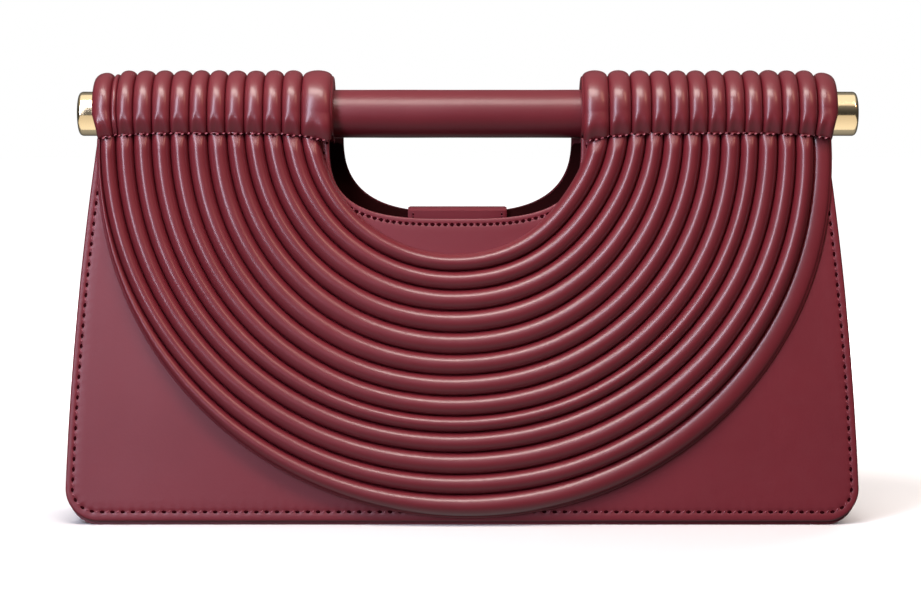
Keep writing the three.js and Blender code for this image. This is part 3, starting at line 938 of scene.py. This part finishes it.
def curve_object(name, points):
    """A poly curve through points in millimetres."""
    data = bpy.data.curves.new(name, "CURVE")
    data.dimensions = "3D"
    spline = data.splines.new("POLY")
    spline.points.add(len(points) - 1)
    flat = np.concatenate([np.asarray(points) * MM, np.ones((len(points), 1))], axis=1)
    spline.points.foreach_set("co", flat.ravel())
    made = bpy.data.objects.new(name, data)
    bpy.context.scene.collection.objects.link(made)
    return made


def lay_ribs(prefix, furrows, tree, pattern, last_start_share=1.0, **values):
    """A rib between each two furrows, as a list of objects."""
    lines = [curve_object(f"{prefix}_furrow", points) for points in furrows]
    ribs = []
    for i, (inner, outer) in enumerate(zip(lines, lines[1:])):
        name = f"{prefix}_{i + 1:02d}"
        start_share = last_start_share if i == RIBS - 1 else 1.0
        rib = grow(
            pattern,
            tree,
            name,
            Inner_furrow=inner,
            Outer_furrow=outer,
            Start_share=start_share,
            Seed=i * 1.7,
            **values,
        )
        ribs.append(clean(rib, 60))
    discard(*lines)
    return ribs


# %% Lay the ribs
laying = rib_tree()
straight_rib = unit_rib(SECTION_SQUARENESS)
front_paths = [on_panel(f[:, 0], f[:, 1], RIB_FLOOR) for f in front_furrows]
front_ribs = lay_ribs(
    "padded_rib",
    front_paths,
    laying,
    straight_rib,
    last_start_share=0.3,
    Height=RIB_HEIGHT * MM,
    Full_width=6.3 * MM,
    Pinch_length=6 * MM,
    Pinched_share=0.82,
    Crease_depth=0.12,
    Crease_length=6 * MM,
    Waviness=0.35 * MM,
    Leather=rib_nappa,
)
discard(straight_rib)
straight_rib = unit_rib(SLEEVE_SQUARENESS)
sleeve_ribs = {}
for side, sleeve in SLEEVES.items():
    lines = sleeve_furrows(sleeve)
    if side == "left":
        lines = lines[::-1]
    sleeve_ribs[side] = lay_ribs(
        f"sleeve_{side}_rib",
        lines,
        laying,
        straight_rib,
        Height=SLEEVE_RIB_HEIGHT * MM,
        Full_width=5 * MM,
        Pinch_length=5 * MM,
        Pinched_share=SLEEVE_PINCHED,
        Crease_depth=0.4,
        Crease_length=8 * MM,
        Waviness=0.6 * MM,
        Leather=rib_nappa,
    )
discard(straight_rib)

# %% [markdown]
# ## Wraps, backing, bar and caps
#
# Under the ribs of each sleeve lies a plain leather wrap, which shows as a thin flange beside the
# hand opening and as the closed end near the cap. It is a profile along the bar, swept round it,
# and so are the bar and the caps. The wrap thins out below the seam, and the bar's radius changes a
# little round its axis, so those two have loops of their own.


# %% Sweep a profile round the bar
def sweep_round_bar(profile, steps):
    """A closed ring of points round the bar for each row of the profile, a place and a radius."""
    turns = np.linspace(0, 2 * np.pi, steps, endpoint=False)
    return np.array([round_bar(x, turns, radius) for x, radius in profile])


# %% The wraps under the sleeves' ribs
WRAP_STEPS = 96
WRAP_BELOW = 11.2
WRAP_BORE = 9.75
FLANGE_OUT = -0.3
BACK_LAP = 7.0
LAP_THICKNESS = 1.3


def build_wrap(side, sleeve):
    sign = np.sign(sleeve["outer"] - sleeve["inner"])
    inner, outer = sleeve["inner"] + FLANGE_OUT * -sign, sleeve["outer"]
    profile = [
        (inner, WRAP_BORE),
        (inner, WRAP_BORE + 0.5),
        (inner + 0.1 * sign, 13.8),
        (inner + 0.3 * sign, 14.3),
        (inner + 0.6 * sign, 14.5),
        (inner + 0.9 * sign, 14.3),
        (inner + 1.1 * sign, 13.6),
        (inner + 1.4 * sign, SLEEVE_FLOOR + 0.2),
        (outer - 4.0 * sign, SLEEVE_FLOOR),
        (outer - 1.6 * sign, SLEEVE_FLOOR_END + 0.4),
        (outer - 0.7 * sign, 10.6),
        (outer - 0.9 * sign, WRAP_BORE),
    ]
    seam = float(seam_place(0.5, "back")[0])
    rings = []
    for turn in np.linspace(0, 2 * np.pi, WRAP_STEPS, endpoint=False):
        away = min(turn, 2 * np.pi - turn)
        thinned = smooth(away, seam - 0.05, seam + 0.35)
        ring = [(x, r + (min(r, WRAP_BELOW) - r) * thinned) for x, r in profile]
        rings.append([round_bar(x, turn, r) for x, r in ring])
    grid = np.array(rings)
    return new_object(f"sleeve_{side}_wrap", grid.reshape(-1, 3), loft_faces(*grid.shape[:2], ring=True))


def build_lap(side, sleeve):
    """The sleeve's leather where it laps over the top of the back panel."""
    outer = math.copysign(TOP_HALF_WIDTH + 0.3, sleeve["outer"])
    start, end = sorted((sleeve["inner"], outer))
    along = np.linspace(0, 1, 90)
    x = start + (end - start) * along
    if side == "left":
        along = 1 - along
    top = (SEAM_HEIGHT - seam_dip(along)) / math.cos(LEAN)
    low = PANEL_TOP / math.cos(LEAN) - BACK_LAP
    inside = PANEL_THICKNESS + 0.05
    outside = inside + LAP_THICKNESS
    section = [
        (low, inside),
        (low, outside - 0.4),
        (low + 0.35, outside),
        (top - 1.5, outside + 0.1),
        (top + 0.6, outside + 1.3),
        (top + 0.6, inside + 0.3),
        (top - 1.5, inside),
    ]
    grid = np.stack([on_panel(x, up, out, 1) for up, out in section], axis=1)
    return new_object(f"sleeve_{side}_lap", grid.reshape(-1, 3), loft_faces(*grid.shape[:2]))


sleeves = {}
for side, sleeve in SLEEVES.items():
    wrap = clean(build_wrap(side, sleeve), 50)
    lap = clean(build_lap(side, sleeve), 50)
    for part in (wrap, lap):
        part.data.materials.append(rib_nappa)
    sleeves[side] = join(f"padded_sleeve_{side}", [wrap, lap] + sleeve_ribs[side])

# %% The backing that the front ribs are sewn to
BACKING_MARGIN_INNER = 0.1
BACKING_MARGIN_OUTER = 0.7
BACKING_LOW, BACKING_HIGH = 2.25, 3.15
BACKING_ROUND = 0.3


def build_backing():
    inner, outer = front_furrows[0], front_furrows[-1]
    step = outer - inner
    step /= np.linalg.norm(step, axis=1, keepdims=True)
    inner = inner - step * BACKING_MARGIN_INNER
    outer = outer + step * BACKING_MARGIN_OUTER
    section = [
        (inner, BACKING_LOW),
        (inner, BACKING_HIGH - BACKING_ROUND),
        (inner + step * BACKING_ROUND, BACKING_HIGH),
        (outer - step * BACKING_ROUND, BACKING_HIGH),
        (outer, BACKING_HIGH - BACKING_ROUND),
        (outer, BACKING_LOW),
    ]
    grid = np.stack([on_panel(line[:, 0], line[:, 1], out) for line, out in section], axis=1)
    backing = new_object("rib_backing_leather", grid.reshape(-1, 3), loft_faces(*grid.shape[:2]))
    backing.data.materials.append(panel_nappa)
    return clean(backing, 50)


backing = build_backing()

# %% The bar and its caps
BAR_STEPS = 96
BAR_ROWS = 120


def build_bar():
    """A rod in leather. Its two edges meet in a fine furrow low on the back."""
    ends = (bar_low[0], bar_high[0])
    x = np.linspace(*ends, BAR_ROWS)
    turns = np.linspace(0, 2 * np.pi, BAR_STEPS, endpoint=False)
    join_at = math.radians(235)
    furrow_depth = 0.35 * np.exp(-(((turns - join_at) / 0.035) ** 2))
    sections = []
    for place in x:
        slow = 0.05 * math.sin(place / 19) + 0.04 * math.sin(place / 7 + 1)
        radius = BAR_RADIUS - furrow_depth + slow * np.sin(turns * 2 + place / 40)
        sections.append(round_bar(place, turns, radius))
    grid = np.array(sections)
    bar = new_object("wrapped_bar", grid.reshape(-1, 3), loft_faces(*grid.shape[:2]))
    bar.data.materials.append(bar_nappa_painted_shade)
    return clean(bar, 40)


CAP_STEPS = 128
CAP_FILLET = 1.6
CAP_DOME = 0.5
CAP_FILLET_STEPS = 8


def build_cap(side):
    low, high = box_mm(f"end_cap_{side}")
    sign = 1 if side == "right" else -1
    base, tip = (low[0], high[0]) if side == "right" else (high[0], low[0])
    shoulder = tip - sign * (CAP_DOME + CAP_FILLET)
    profile = [(base, CAP_RADIUS - 0.2), (base + sign * 0.2, CAP_RADIUS)]
    profile += [(base + (shoulder - base) * s, CAP_RADIUS) for s in np.linspace(0.1, 1, 6)]
    for turn in np.linspace(0, np.pi / 2, CAP_FILLET_STEPS + 1)[1:]:
        profile.append(
            (shoulder + sign * CAP_FILLET * math.sin(turn), CAP_RADIUS - CAP_FILLET * (1 - math.cos(turn)))
        )
    flat = CAP_RADIUS - CAP_FILLET
    for share in (0.8, 0.6, 0.4, 0.2, 0.05):
        profile.append((tip - sign * CAP_DOME * share**2, flat * share))
    grid = sweep_round_bar(profile, CAP_STEPS)
    cap = new_object(f"gold_cap_{side}", grid.reshape(-1, 3), loft_faces(*grid.shape[:2]))
    cap.data.materials.append(gold_brass)
    return clean(cap, 30)


bar = build_bar()
caps = {side: build_cap(side) for side in ("left", "right")}

# %% [markdown]
# Polished metal shows what stands round it. In a studio, two white cards give it a clean light band
# above and below a dark one. They are lights here, and light linking keeps them off the leather.

# %% White cards for the caps
metal = bpy.data.collections.new("metal parts")
for cap in caps.values():
    metal.objects.link(cap)
BAR_AIM = (0, 0, BAR_HEIGHT * MM)
upper_card = softbox("upper white card", (0, -0.1, 0.7), BAR_AIM, (0.9, 0.8), 1.85, "#FFF6E6")
lower_card = softbox("lower white card", (0, -0.5, 0.012), (0, -0.5, 1), (0.9, 1.0), 2.3, "#FFF2E0")
for card in (upper_card, lower_card):
    card.light_linking.receiver_collection = metal

# %% [markdown]
# ## Gusset, lining and tab
#
# The gusset is one leather strip that closes the sides and the base. It sits a little inside the
# edges of the panels and bows in, as leather does that is folded for years of opening. The lining
# is glued to the panels and shows dark through the hand opening. The tab folds over the back
# panel's edge, holds a flat magnet in its inner leg, and has a row of stitches down each side.

# %% The gusset
GUSSET_INSET = 0.8
GUSSET_THICKNESS = 2.0
GUSSET_BOW = 1.6
GUSSET_TOP = 144.8
GUSSET_COLUMNS = 13
GUSSET_BASE_STEPS = 60
GUSSET_FIT = 0.05

def inner_face(height):
    return BASE_HALF_DEPTH - PANEL_THICKNESS * math.cos(LEAN) - height * math.tan(LEAN)

def gusset_line(inset):
    """x and height of the strip, from the top right down, along the base and up the left."""
    side = side_edge(GUSSET_TOP, inset)
    right = np.concatenate([side[:-1:3], side[-1:]])
    base = np.linspace(right[-1], right[-1] * (-1, 1), GUSSET_BASE_STEPS)[1:-1]
    line = np.concatenate([right, base, right[::-1] * (-1, 1)])
    line[:, 1] = (line[:, 1] - GUSSET_INSET) * GUSSET_TOP / (GUSSET_TOP - GUSSET_INSET)
    return line

def gusset_row(place, into, bow):
    """Points across the strip from one panel to the other, sunk in by the bow."""
    sunk = place + np.outer(bow, into)
    reach = np.linspace(-1, 1, GUSSET_COLUMNS) * (inner_face(place[1]) - GUSSET_FIT)
    return np.stack([sunk[:, 0], reach, sunk[:, 1]], axis=-1)

def build_gusset():
    across = np.linspace(-1, 1, GUSSET_COLUMNS)
    rows = []
    for p, q in zip(gusset_line(GUSSET_INSET), gusset_line(GUSSET_INSET + GUSSET_THICKNESS)):
        into = (q - p) / np.linalg.norm(q - p)
        bow = GUSSET_BOW * (1 - across**2) * smooth(p[1], 4, 50)
        rows.append(np.concatenate([gusset_row(p, into, bow), gusset_row(q, into, bow)[::-1]]))
    grid = np.array(rows)
    count = grid.shape[1]
    lined = [int(GUSSET_COLUMNS - 1 <= i < count - 1) for i in range(count)] * (len(rows) - 1)
    gusset = new_object("gusset_strip", grid.reshape(-1, 3), loft_faces(len(rows), count))
    gusset.data.materials.append(panel_nappa)
    gusset.data.materials.append(lining_cloth)
    gusset.data.polygons.foreach_set("material_index", lined + [0, 0])
    return clean(gusset, 50)


gusset = build_gusset()

# %% The linings
LINING_THICKNESS = 1.0
LINING_INSET = 2.6
LINING_TOP = PANEL_TOP - 2
LINING_GAP = 0.1


def build_lining(side):
    """The sheet on a panel's inner face, and its area in square millimetres."""
    opening = OPENINGS[side]
    outline, _, _ = panel_outline(opening, LINING_TOP, LINING_INSET)
    loop = outline[::3]
    count = len(loop)
    field, field_faces = fill_loop(loop, 8.0)
    ripple = 0.15 * swell(field[:, 0] * 3, field[:, 1] * 3) / FIELD_SWELL
    ripple[:count] = 0
    inside = on_panel(field[:, 0], field[:, 1], -LINING_GAP - LINING_THICKNESS - ripple, opening["face"])
    glued = on_panel(field[:, 0], field[:, 1], -LINING_GAP, opening["face"])
    shift = len(field)
    faces = list(field_faces) + [[shift + k for k in reversed(f)] for f in field_faces]
    faces += [(i, (i + 1) % count, shift + (i + 1) % count, shift + i) for i in range(count)]
    lining = new_object(f"{side}_lining_cloth", np.concatenate([inside, glued]), faces)
    lining.data.materials.append(lining_cloth)
    ahead = np.roll(loop, -1, axis=0)
    area = abs(np.sum(loop[:, 0] * ahead[:, 1] - ahead[:, 0] * loop[:, 1])) / 2
    print(f"{side} lining cut: {area / 100:.0f} square cm")
    return clean(lining, 50), area


linings = {side: build_lining(side) for side in OPENINGS}

# %% The closing tab
TAB_WIDTH = 38.5
TAB_LEATHER = 1.3
TAB_MAGNET_LEG = 2.6
TAB_INNER_LENGTH = 20
TAB_OUTER_LENGTH = 11
TAB_CORNER = 4.0
TAB_EDGE_ROUND = 0.35
TAB_GAP = 0.3


def tab_seat():
    """How far up the back panel its edge lies under the corners of the tab."""
    opening = OPENINGS["back"]
    across = TAB_WIDTH / 2 / opening["half_width"]
    depth = (1 - across ** opening["across"]) ** (1 / opening["down"])
    edge = PANEL_TOP + (opening["bottom"] - PANEL_TOP) * depth
    return edge / math.cos(LEAN) + 0.1


def build_tab():
    """A section of the tab is drawn in the plane across the panel and swept along the edge."""
    seat = tab_seat()
    outside = PANEL_THICKNESS + TAB_GAP
    inside = -LINING_THICKNESS - 2 * TAB_GAP
    fold = (outside + inside) / 2
    places = np.concatenate([[0, 0.15, 0.4, 0.8, 1.4, 2.2, 3.0], np.linspace(4, TAB_WIDTH - 4, 12)])
    places = np.concatenate([places, TAB_WIDTH - places[6::-1]])
    sections = []
    for place in places:
        depth = min(place, TAB_WIDTH - place)
        cut = TAB_CORNER - math.sqrt(max(0, TAB_CORNER**2 - max(0, TAB_CORNER - depth) ** 2))
        thin = TAB_EDGE_ROUND * (1 - smooth(depth, 0, 0.8))
        puff = 0.25 * smooth(depth, 1.5, 6)
        outer_skin = outside + TAB_LEATHER - thin
        inner_skin = inside - TAB_MAGNET_LEG + thin
        low_out = seat - TAB_OUTER_LENGTH + cut
        low_in = seat - TAB_INNER_LENGTH + cut
        crown = []
        for turn in np.linspace(0.15, np.pi - 0.15, 9):
            reach = outer_skin - fold if math.cos(turn) > 0 else fold - inner_skin
            rise = (TAB_LEATHER - thin) * math.sin(turn) ** 0.7
            crown.append((seat + rise, fold + reach * math.cos(turn)))
        sections.append(
            [
                (low_out, outside + thin),
                (low_out - 0.3, (outside + outer_skin) / 2),
                (low_out, outer_skin - 0.2),
                (low_out + 0.6, outer_skin),
                (seat - 4, outer_skin + 0.05),
                *crown,
                (seat - 4, inner_skin - puff),
                (seat - TAB_INNER_LENGTH * 0.6, inner_skin - puff),
                (low_in + 1.0, inner_skin - puff * 0.3),
                (low_in + 0.2, inner_skin + 0.3),
                (low_in, (inside + inner_skin) / 2),
                (low_in + 0.3, inside - thin),
                (seat - 0.2, inside - thin),
                (seat, fold),
                (seat - 0.2, outside + thin),
            ]
        )
    x = OPENINGS["back"]["centre"] - TAB_WIDTH / 2 + places
    grid = np.array([on_panel(px, *zip(*section), 1) for px, section in zip(x, sections)])
    tab = new_object("closing_tab_leather", grid.reshape(-1, 3), loft_faces(*grid.shape[:2]))
    tab.data.materials.append(panel_nappa)
    return clean(tab, 45)


tab = build_tab()

# %% [markdown]
# ## Stitches
#
# Every row of stitches is the same thing: a short thread, sunk between two needle holes, again
# and again along a line. A second Geometry Nodes tree sets them out. It reads a line whose points
# carry the direction that faces out of the leather, shares it into equal steps, and lays a squashed
# thread and a dark bead at each step. The dark bead is painted shade for the shadow in the hole.


# %% The tree that sets out stitches
def stitch_tree():
    tree = new_tree(
        "set out stitches",
        {
            "Stitches": "Int",
            "Length": "Float",
            "Width": "Float",
            "Height": "Float",
            "Hole length": "Float",
            "Hole width": "Float",
            "Shift": "Float",
            "Slant": "Float",
            "Thread": "Material",
            "Hole": "Material",
        },
    )
    given = add_node(tree, "NodeGroupInput").outputs
    out = add_node(tree, "GeometryNodeInputNamedAttribute", {"Name": "out"}, data_type="FLOAT_VECTOR")
    line = add_node(tree, "GeometryNodeMeshToCurve", {"Mesh": given["Geometry"]})
    count = add_node(tree, "ShaderNodeMath", {0: given["Stitches"], 1: 1.0}, operation="ADD")
    places = add_node(tree, "GeometryNodeResampleCurve", {"Curve": line, "Count": count}, mode="COUNT")
    tangent = add_node(tree, "GeometryNodeInputTangent")
    turned = add_node(
        tree,
        "FunctionNodeAxesToRotation",
        {"Primary Axis": out, "Secondary Axis": tangent},
        primary_axis="Z",
        secondary_axis="X",
    )
    slant = add_node(
        tree, "FunctionNodeAxisAngleToRotation", {"Axis": (0, 0, 1), "Angle": given["Slant"]}
    )
    slanted = add_node(
        tree, "FunctionNodeRotateRotation", {"Rotation": turned, "Rotate By": slant}, rotation_space="LOCAL"
    )
    thread_size = add_node(
        tree, "ShaderNodeCombineXYZ", {"X": given["Length"], "Y": given["Width"], "Z": given["Height"]}
    )
    ball = {"Segments": 8, "Rings": 6, "Radius": 0.5}
    bead = add_node(tree, "GeometryNodeMeshUVSphere", ball).outputs["Mesh"]
    threads = add_node(
        tree,
        "GeometryNodeInstanceOnPoints",
        {"Points": places, "Instance": bead, "Rotation": slanted, "Scale": thread_size},
    )
    threads = add_node(tree, "GeometryNodeRealizeInstances", {"Geometry": threads})
    threads = add_node(tree, "GeometryNodeSetMaterial", {"Geometry": threads, "Material": given["Thread"]})

    # The dark bead at each hole is painted shade for the shadow down in the needle hole.
    along = add_node(tree, "ShaderNodeVectorMath", {0: tangent, "Scale": given["Shift"]}, operation="SCALE")
    between = add_node(tree, "GeometryNodeSetPosition", {"Geometry": places, "Offset": along})
    hole_size = add_node(
        tree,
        "ShaderNodeCombineXYZ",
        {"X": given["Hole length"], "Y": given["Hole width"], "Z": given["Height"]},
    )
    holes = add_node(
        tree,
        "GeometryNodeInstanceOnPoints",
        {"Points": between, "Instance": bead, "Rotation": turned, "Scale": hole_size},
    )
    holes = add_node(tree, "GeometryNodeRealizeInstances", {"Geometry": holes})
    holes = add_node(tree, "GeometryNodeSetMaterial", {"Geometry": holes, "Material": given["Hole"]})
    both = add_node(tree, "GeometryNodeJoinGeometry").inputs[0]
    tree.links.new(threads.outputs[0], both)
    tree.links.new(holes.outputs[0], both)
    add_node(tree, "NodeGroupOutput", {"Geometry": both.node.outputs[0]})
    return tree


# %% Lay a row of stitches
stitching = stitch_tree()
STITCH_HEIGHT = 0.95
STITCH_SUNK = 0.28


def stitch_row(name, path, outwards, pitch, thread_size=(0.5, 0.8), hole_size=(0.58, 1.2), slant=12):
    """path and outwards are in space. A size is a length, as a share of the pitch, and a width."""
    line = new_object(f"{name}_line", path, edges=[(i, i + 1) for i in range(len(path) - 1)])
    facing = line.data.attributes.new("out", "FLOAT_VECTOR", "POINT")
    facing.data.foreach_set("vector", np.ascontiguousarray(outwards, dtype=np.float32).ravel())
    row = grow(
        line,
        stitching,
        name,
        Stitches=stitch_count(path, pitch),
        Length=pitch * thread_size[0] * MM,
        Width=thread_size[1] * MM,
        Height=STITCH_HEIGHT * MM,
        Hole_length=pitch * hole_size[0] * MM,
        Hole_width=hole_size[1] * MM,
        Shift=pitch / 2 * MM,
        Slant=math.radians(slant),
        Thread=thread,
        Hole=needle_hole_painted_shade,
    )
    discard(line)
    return row


def panel_rows(side):
    face = OPENINGS[side]["face"]
    facing = on_panel(0, 0, 1, face) - on_panel(0, 0, 0, face)
    rows = []
    for label, row in boards[side][1].items():
        path = on_panel(row["path"][:, 0], row["path"][:, 1], PANEL_THICKNESS - STITCH_SUNK, face)
        outwards = np.tile(facing, (len(path), 1))
        name = f"{side}_{label}_stitches"
        if label == "edge":
            rows.append(stitch_row(name, path, outwards, row["pitch"], (0.5, 0.6), (0.5, 1.3), slant=40))
        else:
            rows.append(stitch_row(name, path, outwards, row["pitch"], (0.3, 1.4), (0.74, 1.9)))
    return join(f"{side}_stitches", rows)


stitches = {side: panel_rows(side) for side in OPENINGS}


# %% Stitches along the seams below the sleeves
SEAM_PITCH = 2.4
SEAM_SKIP = 2


def seam_row(side, sleeve, back):
    """The row follows the pinched ribs: over each crest and down into each furrow."""
    edges = rib_edges(sleeve)
    sign = np.sign(sleeve["outer"] - sleeve["inner"])
    start = sleeve["inner"] + sign * FLANGE_WIDTH
    end = sleeve["outer"] - sign * END_DRAW
    path = []
    for low, high in zip(edges, edges[1:]):
        for across in np.linspace(0, 1, 9)[:-1]:
            along = low + (high - low) * across
            rise = math.sin(math.pi * (0.12 + 0.76 * across)) ** SLEEVE_SQUARENESS
            angle, reach = seam_place(along, "back" if back else "front")
            radius = reach - SLEEVE_PINCHED * SLEEVE_RIB_HEIGHT * (1 - rise)
            path.append(round_bar(start + (end - start) * along, -angle if back else angle, radius))
    path = np.array(path)[SEAM_SKIP:-SEAM_SKIP]
    outwards = path - np.stack([path[:, 0], 0 * path[:, 0], 0 * path[:, 0] + BAR_HEIGHT + 4], axis=-1)
    outwards /= np.linalg.norm(outwards, axis=1, keepdims=True)
    name = f"seam_{side}_{'back' if back else 'front'}"
    return stitch_row(name, path, outwards, SEAM_PITCH, (0.5, 0.6), (0.5, 0.8), slant=25)


seam_rows = [seam_row(side, sleeve, back) for side, sleeve in SLEEVES.items() for back in (False, True)]
seam_stitches = join("seam_stitches", seam_rows)

# %% Stitches on the tab
TAB_STITCH_INSET = 2.0
TAB_PITCH = 1.3
TAB_STITCH_SUNK = 0.15


def tab_row(sign):
    seat = tab_seat()
    x = OPENINGS["back"]["centre"] + sign * (TAB_WIDTH / 2 - TAB_STITCH_INSET)
    up = np.linspace(seat - 0.5, seat - TAB_INNER_LENGTH + TAB_CORNER, 20)
    out = -LINING_THICKNESS - 2 * TAB_GAP - TAB_MAGNET_LEG + TAB_STITCH_SUNK
    path = on_panel(x, up, out, 1)
    facing = on_panel(0, 0, -1, 1) - on_panel(0, 0, 0, 1)
    outwards = np.tile(facing, (len(path), 1))
    return stitch_row("tab_row", path, outwards, TAB_PITCH, (0.4, 0.5), (0.5, 0.8), slant=0)


tab_stitches = join("tab_stitches", [tab_row(-1), tab_row(1)])

# %% [markdown]
# ## Put each piece in the place of its solid
#
# Every piece rides on the bag's one body and stands for the solid it was modelled over, which is
# hidden.

pieces = {
    "front_panel": boards["front"][0],
    "back_panel": boards["back"][0],
    "rib_backing": backing,
    "sleeve_left": sleeves["left"],
    "sleeve_right": sleeves["right"],
    "handle_bar": bar,
    "end_cap_left": caps["left"],
    "end_cap_right": caps["right"],
    "gusset": gusset,
    "front_lining": linings["front"][0],
    "back_lining": linings["back"][0],
    "closing_tab": tab,
}
for i, rib in enumerate(front_ribs):
    node = f"rib_{i + 1:02d}"
    pieces[node] = rib
for node, piece in pieces.items():
    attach(piece, "root")
    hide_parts(node)
for row in [*stitches.values(), seam_stitches, tab_stitches]:
    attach(row, "root")
